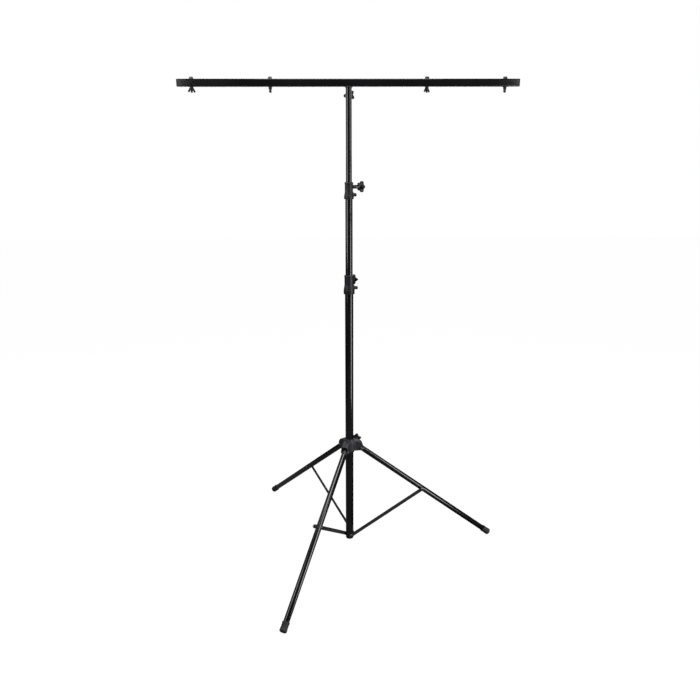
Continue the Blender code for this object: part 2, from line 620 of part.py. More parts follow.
def build_hub(stand):
    """The sliding hub with a hood for each leg, its bush, and the bolts that the legs turn on."""
    frame = empty("hub_frame", stand, Matrix.Translation((0, 0, HUB_PIVOT_Z)))
    bush_r = LOWER_TUBE_R + HUB_SLIDE_CLEAR + HUB_BUSH_WALL
    edge = 0.002
    thick_r = HUB_SLEEVE_R + HUB_BODY_OUT
    body = turned("hub", [
        (0, -HUB_BELOW), (HUB_SLEEVE_R - edge, -HUB_BELOW), (HUB_SLEEVE_R, -HUB_BELOW + edge),
        (HUB_SLEEVE_R, -HOOD_BELOW - edge), (thick_r, -HOOD_BELOW + edge), (thick_r, HUB_BODY_TOP),
        (HUB_SLEEVE_R, HUB_BODY_TOP + HUB_BODY_OUT), (HUB_SLEEVE_R, HUB_ABOVE - edge),
        (HUB_SLEEVE_R - edge, HUB_ABOVE), (0, HUB_ABOVE)])
    hoods, cutters = [], []
    for index in range(3):
        radial = leg_direction(index)
        pivot = Vector((0, 0, 1)).cross(radial)
        side = along((0, 0, 0), -pivot, radial)
        hood = prism("hood", hood_outline(0), -HOOD_HALF, HOOD_HALF, side)
        hoods.append(bevelled(hood, HOOD_EDGE, 3, is_hood_edge))
        cutters.append(prism("pocket", hood_outline(HOOD_WALL), -HOOD_SIDE, HOOD_SIDE, side))
        bolt_frame = along(radial * HUB_PIVOT_R, -pivot, radial)
        cutters.append(rod("hole", JOINT_BOLT_R + SCREW_GAP, -HOOD_HALF - 0.01, HOOD_HALF + 0.01, bolt_frame))
        finish(f"leg_pivot_pin_{LEG_NAMES[index]}", rivet(HOOD_HALF + GAP, HOOD_HALF + GAP, bolt_frame),
               frame, STEEL)
    clamp = outward(LEG_TURN + HUB_KNOB_TURN, HUB_KNOB_UP)
    hoods.append(rod("boss", HUB_BOSS_R, LOWER_TUBE_R, HUB_BOSS_END, clamp, BOSS_ROUND))
    fuse(body, *hoods)
    cutters.append(rod("bore", bush_r + GAP, -HUB_BELOW - 0.01, HUB_ABOVE + 0.01, count=ROUND))
    cutters.append(rod("hole", STUD_R + SCREW_GAP, 0, HUB_BOSS_END + 0.01, clamp))
    finish("hub", cut(body, *cutters), frame, PLASTIC)
    bush = tube("bush", bush_r, LOWER_TUBE_R + HUB_SLIDE_CLEAR, -HUB_BELOW + 0.001, HUB_ABOVE - 0.001)
    hole = rod("hole", STUD_R + SCREW_GAP, 0, HUB_BOSS_END, clamp)
    finish("hub_bush", cut(bush, hole), frame, PLASTIC)
    knob("hub_knob", frame, clamp, HUB_KNOB_LOBE, LOWER_TUBE_R + GAP, HUB_BOSS_END, HUB_KNOB_AT)
    return frame


def hood_outline(inset):
    """A hood's side, in distance from the mast and height above the pivot. An inset gives its pocket."""
    end = HOOD_END_R + (0.02 if inset else 0)
    start = HOOD_POCKET_R if inset else LOWER_TUBE_R
    low = -HOOD_BELOW - (0.02 if inset else 0)
    roof = [(HOOD_END_R, 0.0150), (0.051, 0.0220), (0.046, 0.0270), (0.038, 0.0310), (0.028, 0.0335)]
    if inset:
        points = [(start, low), (end, low), (end, roof[0][1] - inset)]
        points += [(x, y - inset) for x, y in roof[1:-1]]
        points.append((start, roof[-1][1] - inset - 0.001))
    else:
        points = [(start, low), (end - 0.006, low), (end - 0.0018, low + 0.0018), (end, low + 0.006)]
        points += roof
        points.append((start, 0.0345))
    return points


def is_hood_edge(edge):
    """The long edges of a hood's roof, which are rounded."""
    first, second = edge.verts[0].co, edge.verts[1].co
    same_side = first.z * second.z > 0
    roof = min(first.y, second.y) > 0.010
    return same_side and roof


def rivet(near, far, matrix):
    """A pin along Z with a head past near, and one past -far."""
    head = [(PIVOT_HEAD_R, 0), (PIVOT_HEAD_R, PIVOT_HEAD_HEIGHT * 0.35),
            (PIVOT_HEAD_R * 0.65, PIVOT_HEAD_HEIGHT * 0.8), (0, PIVOT_HEAD_HEIGHT * 0.8)]
    profile = [(radius, -far - out) for radius, out in reversed(head)]
    profile += [(JOINT_BOLT_R, -far), (JOINT_BOLT_R, near)]
    profile += [(radius, near + out) for radius, out in head]
    return turned("rivet", profile, matrix, SMALL_ROUND)


def build_leg(index, hub_frame):
    """A leg in a frame at its pivot. Z runs down the leg and Y along the pivot."""
    name = LEG_NAMES[index]
    radial = leg_direction(index)
    down_leg = radial * math.sin(SPREAD) - Vector((0, 0, math.cos(SPREAD)))
    pivot = Vector((0, 0, 1)).cross(radial)
    turn = along(radial * HUB_PIVOT_R, down_leg, -pivot)
    frame = empty(f"leg_{name}_frame", hub_frame, turn)
    across = Matrix.Rotation(math.pi / 2, 4, "Y")
    joint = Matrix.Translation((0, 0, LEG_JOINT)) @ across

    tube_end = LEG_LENGTH - FOOT_SOLE - GAP
    bore = LEG_TUBE_R - TUBE_WALL
    leg = tube("leg", LEG_TUBE_R, bore, LEG_TOP_LENGTH + GAP, tube_end, count=LEG_ROUND)
    hole = rod("hole", JOINT_BOLT_R + SCREW_GAP, -0.03, 0.03, joint)
    finish(f"leg_tube_{name}", cut(leg, hole), frame, PAINT)

    spigot_r = bore - GAP
    dome = [(LEG_TUBE_R * math.sin(math.radians(30 * i)), -LEG_TUBE_R * math.cos(math.radians(30 * i)))
            for i in range(4)]
    top = turned("top", dome + [(LEG_TUBE_R, LEG_TOP_LENGTH), (spigot_r, LEG_TOP_LENGTH),
                                (spigot_r, LEG_TOP_LENGTH + LEG_TOP_SPIGOT),
                                (0, LEG_TOP_LENGTH + LEG_TOP_SPIGOT)], count=LEG_ROUND)
    cut(top, rod("hole", JOINT_BOLT_R + SCREW_GAP, -0.03, 0.03, across))
    finish(f"leg_top_{name}", top, frame, PLASTIC)

    foot_top = LEG_LENGTH - FOOT_LENGTH
    corner = [(FOOT_END_R - FOOT_CORNER + FOOT_CORNER * math.cos(math.radians(22.5 * i)),
               LEG_LENGTH - FOOT_CORNER + FOOT_CORNER * math.sin(math.radians(22.5 * i))) for i in range(5)]
    foot = turned("foot", [
        (0, LEG_LENGTH - FOOT_SOLE), (LEG_TUBE_R + GAP, LEG_LENGTH - FOOT_SOLE), (LEG_TUBE_R + GAP, foot_top),
        (FOOT_LIP_R - 0.0005, foot_top), (FOOT_LIP_R, foot_top + FOOT_LIP * 0.5),
        (FOOT_BODY_R, foot_top + FOOT_LIP)] + corner + [(0, LEG_LENGTH)], count=LEG_ROUND)
    foot.matrix_world = Matrix.Translation((0, 0, HUB_PIVOT_Z)) @ turn
    floor = box("floor", (-1, -1, -0.1), (1, 1, 0))
    cut(foot, floor)
    foot.matrix_world = Matrix()
    finish(f"foot_{name}", foot, frame, RUBBER)

    near, far = LEG_TUBE_R + GAP, -LEG_TUBE_R - GAP
    pin = turned("pin", [
        (0, STRUT_INNER - GAP), (SPACER_R, STRUT_INNER - GAP), (SPACER_R, near), (JOINT_BOLT_R, near),
        (JOINT_BOLT_R, far), (PIVOT_HEAD_R, far), (PIVOT_HEAD_R, far - PIVOT_HEAD_HEIGHT * 0.4),
        (PIVOT_HEAD_R * 0.65, far - PIVOT_HEAD_HEIGHT * 0.9), (0, far - PIVOT_HEAD_HEIGHT * 0.9)],
        joint, BOSS_ROUND)
    finish(f"leg_joint_pin_{name}", pin, frame, STEEL)


def strut_reach():
    """A strut's length between its pivots, and its angle from the vertical."""
    joint_r = HUB_PIVOT_R + LEG_JOINT * math.sin(SPREAD)
    joint_z = HUB_PIVOT_Z - LEG_JOINT * math.cos(SPREAD)
    across, up = joint_r - STRUT_PIVOT_R, joint_z - STRUT_PIVOT_Z
    return math.hypot(across, up), math.atan2(across, up)


def build_strut(index, stand):
    """A strut in a frame at its lower pivot. X runs up the strut and Z along the pivot."""
    name = LEG_NAMES[index]
    length, lean = strut_reach()
    radial = leg_direction(index)
    up_strut = radial * math.sin(lean) + Vector((0, 0, math.cos(lean)))
    pivot = Vector((0, 0, 1)).cross(radial)
    frame = empty(f"strut_{name}_frame", stand,
                  along(radial * STRUT_PIVOT_R + Vector((0, 0, STRUT_PIVOT_Z)), -pivot, up_strut))
    half = STRUT_WIDTH / 2
    outline = capsule((-STRUT_OVERHANG, 0), half, (length + STRUT_OVERHANG, 0), half)
    strip = prism("strip", outline, STRUT_INNER, STRUT_OUTER)
    holes = [rod("hole", JOINT_BOLT_R + SCREW_GAP, 0, 0.05, Matrix.Translation((x, 0, 0)))
             for x in (0, length)]
    finish(f"strut_{name}", cut(strip, *holes), frame, PAINT)
    end = Matrix.Translation((length, 0, 0))
    stub = rod("stub", JOINT_BOLT_R, STRUT_INNER, STRUT_OUTER + NUT_HEIGHT / 2, end)
    head = STRUT_OUTER + GAP
    rings = [[(0, 0, head)], hexagon(NUT_R * math.sqrt(3), head),
             hexagon(NUT_R * math.sqrt(3), head + NUT_HEIGHT * 0.8),
             circle(NUT_R * 0.8, head + NUT_HEIGHT, 6), [(0, 0, head + NUT_HEIGHT)]]
    finish(f"strut_nut_{name}", fuse(stub, loft("nut", rings, end)), frame, STEEL)


def centre_outline(stand):
    """Move the stand so that the origin is under the middle of its outline."""
    bpy.context.view_layer.update()
    corners = [item.matrix_world @ vert.co for item in bpy.data.objects if item.type == "MESH"
               for vert in item.data.vertices]
    for axis in (0, 1):
        values = [corner[axis] for corner in corners]
        stand.location[axis] -= (min(values) + max(values)) / 2
    bpy.context.view_layer.update()
    print("mast axis at", tuple(round(value, 6) for value in stand.location))


def main():
    clear_scene()
    stand = empty("stand", None, Matrix())
    build_base(stand)
    build_mast(stand)
    top_frame = build_top_mast(build_mid_mast(stand))
    build_crossbar(top_frame)
    hub_frame = build_hub(stand)
    for index in range(3):
        build_leg(index, hub_frame)
        build_strut(index, stand)
    centre_outline(stand)


main()
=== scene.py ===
# %% [markdown]
# # A T-bar lighting stand
# The stand is a folding tripod, a mast of three tubes that slide in one another, and a square crossbar with
# four bolts for lamps. The lesson keeps the engineering model as it is and builds the finish around it:
# turned and moulded shapes with soft edges, threads, welds, and one procedural material for each finish.
#
# We start by loading the fixed model. Everything is placed from its boxes and its joints, so no place is
# typed in twice and no piece can drift away from the part that carries it.

# %% Load the fixed model
import cmath
import json
import math

import bmesh
import bpy
from mathutils import Matrix, Vector


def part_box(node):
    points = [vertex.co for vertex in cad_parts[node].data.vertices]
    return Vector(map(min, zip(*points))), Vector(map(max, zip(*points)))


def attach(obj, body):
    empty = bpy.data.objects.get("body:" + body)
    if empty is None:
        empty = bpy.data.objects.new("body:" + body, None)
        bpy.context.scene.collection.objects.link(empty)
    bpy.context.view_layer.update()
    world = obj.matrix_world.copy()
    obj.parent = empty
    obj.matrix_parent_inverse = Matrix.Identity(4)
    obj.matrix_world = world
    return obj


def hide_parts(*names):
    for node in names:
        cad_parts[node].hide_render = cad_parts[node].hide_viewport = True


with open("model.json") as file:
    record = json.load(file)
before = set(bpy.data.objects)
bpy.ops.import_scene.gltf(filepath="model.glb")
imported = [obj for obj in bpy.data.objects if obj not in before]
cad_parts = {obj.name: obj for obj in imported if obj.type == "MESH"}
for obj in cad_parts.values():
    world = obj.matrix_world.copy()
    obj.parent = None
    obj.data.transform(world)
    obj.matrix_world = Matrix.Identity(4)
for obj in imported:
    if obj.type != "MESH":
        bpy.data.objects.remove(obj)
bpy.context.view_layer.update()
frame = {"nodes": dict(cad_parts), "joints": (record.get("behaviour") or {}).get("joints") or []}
joints = {joint["name"]: joint for joint in frame["joints"]}

# %% [markdown]
# ## Places
# A node's box gives a round piece's axis, radius and ends. A joint gives a pivot and the direction it turns
# about. These two are enough to place the whole stand.

# %% Read the places of the mast and the legs
LEG_NAMES = ("right", "back", "front")
UP = Vector((0, 0, 1))


def span(node):
    """The lowest and the highest z of a node."""
    low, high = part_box(node)
    return low.z, high.z


def round_radius(node):
    """The radius of an upright round node."""
    low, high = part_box(node)
    return (high.x - low.x) / 2


def along(origin, direction, side):
    """A matrix whose Z runs along direction and whose X leans towards side."""
    z_axis = Vector(direction).normalized()
    x_axis = (Vector(side) - z_axis * Vector(side).dot(z_axis)).normalized()
    turn = Matrix((x_axis, z_axis.cross(x_axis), z_axis)).transposed().to_4x4()
    return Matrix.Translation(Vector(origin)) @ turn


def joint_frame(name, side=UP):
    """A matrix on a joint's pivot whose Z is the joint's axis."""
    return along(joints[name]["pos_m"], joints[name]["axis"], side)


mast_low, mast_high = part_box("lower_tube")
MAST = Matrix.Translation(((mast_low.x + mast_high.x) / 2, (mast_low.y + mast_high.y) / 2, 0))
LOWER_R, MID_R, UPPER_R = (round_radius(node) for node in ("lower_tube", "mid_tube", "upper_tube"))
TUBE_WALL = 0.0012
LEG_SPREAD = math.radians(joints["leg_right_fold"]["range_deg"][1])
print("mast at", tuple(round(value, 4) for value in MAST.translation), "radii", LOWER_R, MID_R, UPPER_R)


def leg_outward(name):
    """The level direction from the mast to a leg's foot."""
    return Vector(joints[f"leg_{name}_fold"]["axis"]).cross(UP)


def leg_frame(name):
    """A matrix on a leg's pivot. Z runs down the leg and X runs along the pivot."""
    outward = leg_outward(name)
    down_leg = outward * math.sin(LEG_SPREAD) - UP * math.cos(LEG_SPREAD)
    return along(joints[f"leg_{name}_fold"]["pos_m"], down_leg, joints[f"leg_{name}_fold"]["axis"])


# %% [markdown]
# ## The stage
# The photograph is a product shot on white. The camera stands a little above the middle of the stand and
# looks down, so the upper collar is seen from just below and the feet from above. Tall soft lights stand
# left and right of the camera: their reflections draw the two pale stripes down each tube, and the dark gap
# between them leaves the black line in the middle. The left one ends above the lower tube, so the left
# stripe fades on the way down. Two dim lights further back edge the tubes, one from above lies on the hub
# and the knobs, one behind shows on the parts that lean back, and two faint ones on the floor stand for the
# white paper, which fills the shadows.

# %% Camera, lights and floor
PHOTO_WIDTH = 700
FOCAL_PIXELS = 668.2
SENSOR_WIDTH = 36.0
CAMERA_FROM_MAST = Vector((-0.0325, -2.5080, 1.5556))
CAMERA_PITCH = -0.2727
CAMERA_PAN = 0.0141
CAMERA_ROLL = 0.0020
FLOOR_HALF = 12.0
FLOOR_SHADE = 0.04
FLOOR_GLOW = 0.99


def add_camera():
    data = bpy.data.cameras.new("camera")
    data.sensor_width = SENSOR_WIDTH
    data.lens = FOCAL_PIXELS * SENSOR_WIDTH / PHOTO_WIDTH
    data.clip_end = 50
    camera = bpy.data.objects.new("camera", data)
    bpy.context.scene.collection.objects.link(camera)
    heading = Matrix.Rotation(-CAMERA_PAN, 4, "Z")
    tilt = Matrix.Rotation(math.pi / 2 + CAMERA_PITCH, 4, "X")
    roll = Matrix.Rotation(-CAMERA_ROLL, 4, "Z")
    place = Matrix.Translation(MAST.translation + CAMERA_FROM_MAST)
    camera.matrix_world = place @ heading @ tilt @ roll
    bpy.context.scene.camera = camera


def add_softbox(name, place, target, width, height, power):
    """A soft rectangular light that looks at a target."""
    data = bpy.data.lights.new(name, "AREA")
    data.shape = "RECTANGLE"
    data.size = width
    data.size_y = height
    data.energy = power
    light = bpy.data.objects.new(name, data)
    light.visible_camera = False
    bpy.context.scene.collection.objects.link(light)
    away = Vector(place) - Vector(target)
    light.matrix_world = along(place, away, UP.cross(away))


def add_floor():
    """A large floor that runs far past the frame. Its own glow makes it white, so its shadows stay pale."""
    body = bmesh.new()
    bmesh.ops.create_grid(body, x_segments=1, y_segments=1, size=FLOOR_HALF)
    mesh = bpy.data.meshes.new("floor")
    body.to_mesh(mesh)
    body.free()
    floor = bpy.data.objects.new("floor", mesh)
    bpy.context.scene.collection.objects.link(floor)
    paper = bpy.data.materials.new("white_floor")
    paper.use_nodes = True
    shader = paper.node_tree.nodes["Principled BSDF"]
    shader.inputs["Base Color"].default_value = (FLOOR_SHADE, FLOOR_SHADE, FLOOR_SHADE, 1)
    shader.inputs["Roughness"].default_value = 0.9
    shader.inputs["Specular IOR Level"].default_value = 0.0
    shader.inputs["Emission Color"].default_value = (1, 1, 1, 1)
    shader.inputs["Emission Strength"].default_value = FLOOR_GLOW
    mesh.materials.append(paper)
    floor.visible_diffuse = False
    floor.visible_glossy = False


def add_white_room():
    """A white world that only the camera sees, so that it puts no haze on the black finishes."""
    world = bpy.data.worlds.new("white_room")
    world.use_nodes = True
    world.node_tree.nodes["Background"].inputs["Color"].default_value = (1, 1, 1, 1)
    world.cycles_visibility.diffuse = False
    world.cycles_visibility.glossy = False
    bpy.context.scene.world = world


add_camera()
add_softbox("key_left", (-1.52, -0.95, 1.75), (0, 0, 1.75), 0.75, 1.2, 16)
add_softbox("key_right", (1.5, -0.95, 0.78), (0, 0, 0.78), 0.5, 1.48, 22)
add_softbox("key_right_high", (1.46, -1.0, 2.0), (0, 0, 2.0), 0.5, 0.8, 8)
add_softbox("side_left", (-1.9, 0.75, 1.9), (0, 0.75, 1.9), 1.5, 1.3, 7)
add_softbox("side_right", (1.9, 0.8, 2.0), (0, 0.8, 2.0), 1.5, 1.1, 3)
add_softbox("top", (0, -0.4, 3.4), (0, 0, 0), 1.4, 1.4, 60)
add_softbox("backdrop", (0, 3.2, 2.6), (0, 0, 2.6), 6.0, 2.0, 60)
add_softbox("paper_front", (0, -1.6, 0.002), (0, -1.5999, 1), 4.0, 3.0, 4)
add_softbox("paper_back", (-0.8, 0.7, 0.002), (-0.8, 0.7001, 1), 1.8, 1.6, 1.2)
add_floor()
add_white_room()
bpy.context.scene.view_settings.view_transform = "Standard"

# %% [markdown]
# ## Node sums as plain Python
# A node tree is easier to read as an expression. `Socket` wraps an output, and each operator on it adds a
# Math node. `Maker.add` makes any other node: its type, its settings, then the values or links of its
# inputs. The same two classes write the materials and the Geometry Nodes trees, because both use the same
# Math node.

# %% A socket that can be written into sums
class Socket:
    """An output of a node tree. Sums written with it add Math nodes to the tree."""

    def __init__(self, maker, link):
        self.maker = maker
        self.link = link

    def math(self, operation, *others):
        return self.maker.add("ShaderNodeMath", {"operation": operation}, [self, *others])

    def __add__(self, other):
        return self.math("ADD", other)

    def __sub__(self, other):
        return self.math("SUBTRACT", other)

    def __rsub__(self, other):
        return self.maker.add("ShaderNodeMath", {"operation": "SUBTRACT"}, [other, self])

    def __mul__(self, other):
        return self.math("MULTIPLY", other)

    def __truediv__(self, other):
        return self.math("DIVIDE", other)

    __radd__ = __add__
    __rmul__ = __mul__

    def between(self, low, high):
        """0 below low, 1 above high, and a smooth climb from one to the other."""
        return self.maker.add(
            "ShaderNodeMapRange", {"interpolation_type": "SMOOTHSTEP"}, [self, low, high, 0, 1])


class Maker:
    """Adds nodes to one tree."""

    def __init__(self, tree):
        self.tree = tree

    def add(self, kind, settings=None, inputs=(), output=0):
        node = self.tree.nodes.new(kind)
        for name, value in (settings or {}).items():
            setattr(node, name, value)
        pairs = inputs.items() if isinstance(inputs, dict) else enumerate(inputs)
        for key, value in pairs:
            if isinstance(value, Socket):
                self.tree.links.new(value.link, node.inputs[key])
            else:
                node.inputs[key].default_value = value
        return Socket(self, node.outputs[output])

    def other(self, socket, output):
        """Another output of the node that a socket comes from."""
        return Socket(self, socket.link.node.outputs[output])

    def mix(self, factor, first, second):
        """A blend of two colours. Plain numbers would turn grey in a Math node."""
        return self.add("ShaderNodeMix", {"data_type": "RGBA"}, {0: factor, 6: first, 7: second}, 2)


# %% [markdown]
# ## Finishes
# Every finish here is nearly black, so the eye reads it from its gloss and its grain. Each material
# therefore gets its own bump at the real scale and its own roughness, with slow changes over the surface
# for handling and dust. Rubbed edges come from an attribute that we measure on each mesh: how sharply the
# surface turns at a point.

# %% Material helpers
def grey(value, tint=0.0):
    """A linear grey, a little bluer with a positive tint."""
    return (value * (1 - tint / 2), value * (1 - tint / 2), value * (1 + tint), 1)


def new_material(name):
    made = bpy.data.materials.new(name)
    made.use_nodes = True
    maker = Maker(made.node_tree)
    shader = made.node_tree.nodes["Principled BSDF"]
    place = maker.add("ShaderNodeTexCoord", output="Object")
    return made, maker, shader, place


def noise(maker, place, size, detail=2.0, roughness=0.5, stretch=(1, 1, 1)):
    """Noise whose features are about size metres across. Stretch above 1 draws them out along an axis."""
    scale = [1 / value for value in stretch]
    mapped = maker.add("ShaderNodeMapping", {}, {"Vector": place, "Scale": scale})
    return maker.add("ShaderNodeTexNoise", {}, {
        "Vector": mapped, "Scale": 1 / size, "Detail": detail, "Roughness": roughness})


def plug(maker, shader, name, value):
    if isinstance(value, Socket):
        maker.tree.links.new(value.link, shader.inputs[name])
    else:
        shader.inputs[name].default_value = value


def bump(maker, height, distance, strength=1.0):
    return maker.add("ShaderNodeBump", {}, {"Height": height, "Distance": distance, "Strength": strength})


def edge_wear(maker, place, size, low=0.35, high=0.7):
    """The rubbed share of an edge: the measured edge, broken up by noise."""
    edge = maker.add("ShaderNodeAttribute", {"attribute_name": "edge"}, output="Fac")
    patchy = noise(maker, place, size, 3.0, 0.6)
    return (edge * patchy * 2).between(low, high)


# %% [markdown]
# ### Powder coat
# The tubes, the bar and the struts are steel with a black powder coat. Powder melts into a skin with a
# faint orange peel, a millimetre or so from dimple to dimple. Where another part slides or a hand grips,
# the skin is polished in long strokes.

# %% The powder coat
def powder_coat(name, stroke_stretch, stroke_share):
    """Powder coat whose polished strokes run along the piece."""
    made, maker, shader, place = new_material(name)
    peel = noise(maker, place, 0.0011, 1.0)
    cloud = noise(maker, place, 0.09, 3.0)
    strokes = noise(maker, place, 0.0012, 2.0, 0.6, stroke_stretch).between(0.56, 0.74) * stroke_share
    worn = edge_wear(maker, place, 0.003)
    skin = maker.mix(cloud.between(0.35, 0.7), grey(0.0062, 0.06), grey(0.0088, 0.06))
    skin = maker.mix(strokes * 0.35, skin, grey(0.020, 0.03))
    plug(maker, shader, "Base Color", maker.mix(worn * 0.6, skin, grey(0.05, 0.02)))
    plug(maker, shader, "Roughness", 0.12 + cloud * 0.06 - strokes * 0.03 + worn * 0.08)
    plug(maker, shader, "Normal", bump(maker, peel, 0.00002, 0.5))
    return made


# %% [markdown]
# ### Moulded plastic
# The hub, collars and plugs are dark grey nylon with glass fibre. The mould is spark eroded, which leaves
# an even, fine grain and a flat sheen. Handling polishes the edges. The hub gets a paler copy of the same
# plastic: its grey is painted lighter to stand in for the light from above that falls on it.

# %% The moulded plastic and the knob plastic
def moulded_plastic(name, dark, light, sheen):
    made, maker, shader, place = new_material(name)
    grain = noise(maker, place, 0.00045, 2.0, 0.6)
    cloud = noise(maker, place, 0.018, 3.0)
    worn = edge_wear(maker, place, 0.002, 0.3, 0.75)
    body = maker.mix(cloud.between(0.3, 0.7), grey(dark, 0.14), grey(light, 0.14))
    plug(maker, shader, "Base Color", maker.mix(worn * 0.55, body, grey(0.06, 0.03)))
    plug(maker, shader, "Roughness", 0.40 + cloud * 0.12 - worn * 0.08)
    plug(maker, shader, "Specular IOR Level", sheen)
    plug(maker, shader, "Normal", bump(maker, grain, 0.00007, 0.6))
    return made


def knob_plastic():
    made, maker, shader, place = new_material("star_knob_plastic")
    grain = noise(maker, place, 0.0007, 2.0)
    cloud = noise(maker, place, 0.012, 2.0)
    worn = edge_wear(maker, place, 0.0015, 0.35, 0.8)
    body = maker.mix(cloud.between(0.35, 0.7), grey(0.0060, 0.04), grey(0.0095, 0.04))
    plug(maker, shader, "Base Color", maker.mix(worn * 0.5, body, grey(0.04, 0.02)))
    plug(maker, shader, "Roughness", 0.19 + cloud * 0.12)
    plug(maker, shader, "Specular IOR Level", 0.32)
    plug(maker, shader, "Normal", bump(maker, grain, 0.00005, 0.5))
    return made


# %% [markdown]
# ### Rubber
# The feet are dull grey rubber. They are the part that meets floors, so pale dust sits in their pores and
# most of all near the sole.

# %% The rubber
def foot_rubber():
    made, maker, shader, place = new_material("foot_rubber")
    pores = noise(maker, place, 0.0006, 3.0, 0.65)
    cloud = noise(maker, place, 0.010, 3.0)
    height = maker.other(maker.add("ShaderNodeSeparateXYZ", {}, [place]), "Z")
    low_down = 1 - height.between(0.004, 0.030)
    dust = (low_down * 0.6 + 0.4) * cloud.between(0.4, 0.75)
    plug(maker, shader, "Base Color", maker.mix(dust, grey(0.018, 0.03), grey(0.060, -0.02)))
    plug(maker, shader, "Roughness", 0.72 + dust * 0.2)
    plug(maker, shader, "Normal", bump(maker, pores, 0.00012, 0.7))
    return made


# %% [markdown]
# ### Black zinc
# Bolts, nuts and studs are zinc plated and blackened. The plating is thin, so the metal still shines
# through: the base is metallic, dark, a little uneven, and bright where a spanner or a washer has rubbed
# it. The lamp bolts and their wing nuts took the black well, and the small screws and nuts of the pivots
# less so.

# %% The black zinc
def black_zinc(name, dark, light, bare):
    made, maker, shader, place = new_material(name)
    stain = noise(maker, place, 0.004, 3.0, 0.6)
    fine = noise(maker, place, 0.0005, 2.0)
    worn = edge_wear(maker, place, 0.002, 0.25, 0.7)
    plate = maker.mix(stain.between(0.35, 0.7), grey(dark, 0.04), grey(light, 0.02))
    plug(maker, shader, "Base Color", maker.mix(worn * 0.7, plate, grey(bare, 0.0)))
    plug(maker, shader, "Metallic", 0.9)
    plug(maker, shader, "Roughness", 0.30 + stain * 0.18)
    plug(maker, shader, "Normal", bump(maker, fine, 0.00004, 0.4))
    return made


MAST_COAT = powder_coat("mast_powder_coat", (1, 1, 90), 1.0)
BAR_COAT = powder_coat("bar_powder_coat", (90, 1, 1), 0.5)
LEG_COAT = powder_coat("leg_powder_coat", (1, 1, 1), 0.0)
MOULDED = moulded_plastic("moulded_plastic", 0.0105, 0.015, 0.33)
# The hub's copy has a paler grey: painted light that stands in for the light from above on the hub.
HUB_PLASTIC_PAINTED_LIGHTER = moulded_plastic("hub_plastic", 0.021, 0.029, 0.5)
KNOB_PLASTIC = knob_plastic()
RUBBER = foot_rubber()
ZINC = black_zinc("black_zinc", 0.075, 0.125, 0.36)
BOLT_ZINC = black_zinc("bolt_black_zinc", 0.018, 0.034, 0.14)
FINISHES = (MAST_COAT, BAR_COAT, LEG_COAT, MOULDED, HUB_PLASTIC_PAINTED_LIGHTER, KNOB_PLASTIC, RUBBER, ZINC, BOLT_ZINC)
print("finishes", [finish.name for finish in FINISHES])

# %% [markdown]
# ## Turned and moulded shapes
# Nearly all of this stand is turned, extruded or moulded. A turned piece is a profile carried round an
# axis, and a profile is easiest to draw as its sharp corners with a fillet for each. The helpers below
# round the corners, carry the profile round, and measure the edges for the wear.

# %% Meshes from rings
SAME_PLACE = 1e-7


def new_object(name, body):
    """An object from a bmesh, closed and with its faces turned out."""
    bmesh.ops.remove_doubles(body, verts=body.verts, dist=SAME_PLACE)
    bmesh.ops.recalc_face_normals(body, faces=body.faces)
    mesh = bpy.data.meshes.new(name)
    body.to_mesh(mesh)
    body.free()
    made = bpy.data.objects.new(name, mesh)
    bpy.context.scene.collection.objects.link(made)
    return made


def loft(name, rings, closed=False):
    """A skin through rings of points. A ring of one point is a pole."""
    body = bmesh.new()
    made = [[body.verts.new(point) for point in ring] for ring in rings]
    pairs = list(zip(made, made[1:])) + ([(made[-1], made[0])] if closed else [])
    for first, second in pairs:
        count = max(len(first), len(second))
        for i in range(count):
            corners = []
            for ring, index in ((first, i), (first, i + 1), (second, i + 1), (second, i)):
                vert = ring[index % len(ring)]
                if vert not in corners:
                    corners.append(vert)
            body.faces.new(corners)
    return new_object(name, body)


def level_ring(radius, height, sides, start=0.0):
    """A level circle of points."""
    turns = [math.tau * (i + start) / sides for i in range(sides)]
    return [(radius * math.cos(turn), radius * math.sin(turn), height) for turn in turns]


def quarter(steps):
    """A hollow quarter circle of radius 1, from (1, 0) to (0, 1)."""
    turns = [math.radians(90 / steps * step) for step in range(steps + 1)]
    return [(1 - math.sin(turn), 1 - math.cos(turn)) for turn in turns]


def rounded(corners, steps=4):
    """A profile with its corners (radius, height, fillet) rounded off."""
    points = []
    last = len(corners) - 1
    for i, (radius, height, *fillet) in enumerate(corners):
        here = Vector((radius, height))
        if not fillet or i in (0, last):
            points.append(here)
            continue
        back = (Vector(corners[i - 1][:2]) - here).normalized()
        ahead = (Vector(corners[i + 1][:2]) - here).normalized()
        half = back.angle(ahead) / 2
        centre = here + (back + ahead).normalized() * fillet[0] / math.sin(half)
        start = here + back * fillet[0] / math.tan(half) - centre
        sweep = start.angle_signed(here + ahead * fillet[0] / math.tan(half) - centre)
        for step in range(steps + 1):
            turn = Matrix.Rotation(-sweep * step / steps, 2)
            points.append(centre + turn @ start)
    return points


def turned(name, corners, matrix=Matrix(), sides=64, steps=4):
    """A turned piece on a matrix's Z. The profile ends on the axis, or is a closed loop off it."""
    rings = [level_ring(radius, height, sides) if radius > SAME_PLACE else [(0, 0, height)]
             for radius, height in rounded(corners, steps)]
    made = loft(name, rings, closed=len(rings[0]) > 1)
    made.data.transform(matrix)
    return made


def extruded(name, outline, low, high, edge=0.0, matrix=Matrix()):
    """A flat outline with a thickness and eased edges."""
    def inset(amount):
        count = len(outline)
        points = []
        for i, point in enumerate(outline):
            before = Vector(outline[i - 1])
            after = Vector(outline[(i + 1) % count])
            tangent = (after - before).normalized()
            points.append(Vector(point) - Vector((tangent.y, -tangent.x)) * amount)
        return points

    layers = [(low, 0), (high, 0)]
    if edge:
        layers = [(low, edge), (low + edge * 0.3, edge * 0.3), (low + edge, 0),
                  (high - edge, 0), (high - edge * 0.3, edge * 0.3), (high, edge)]
    rings = [[(point.x, point.y, height) for point in inset(amount)] for height, amount in layers]
    made = end_filled(loft(name, rings))
    made.data.transform(matrix)
    return made


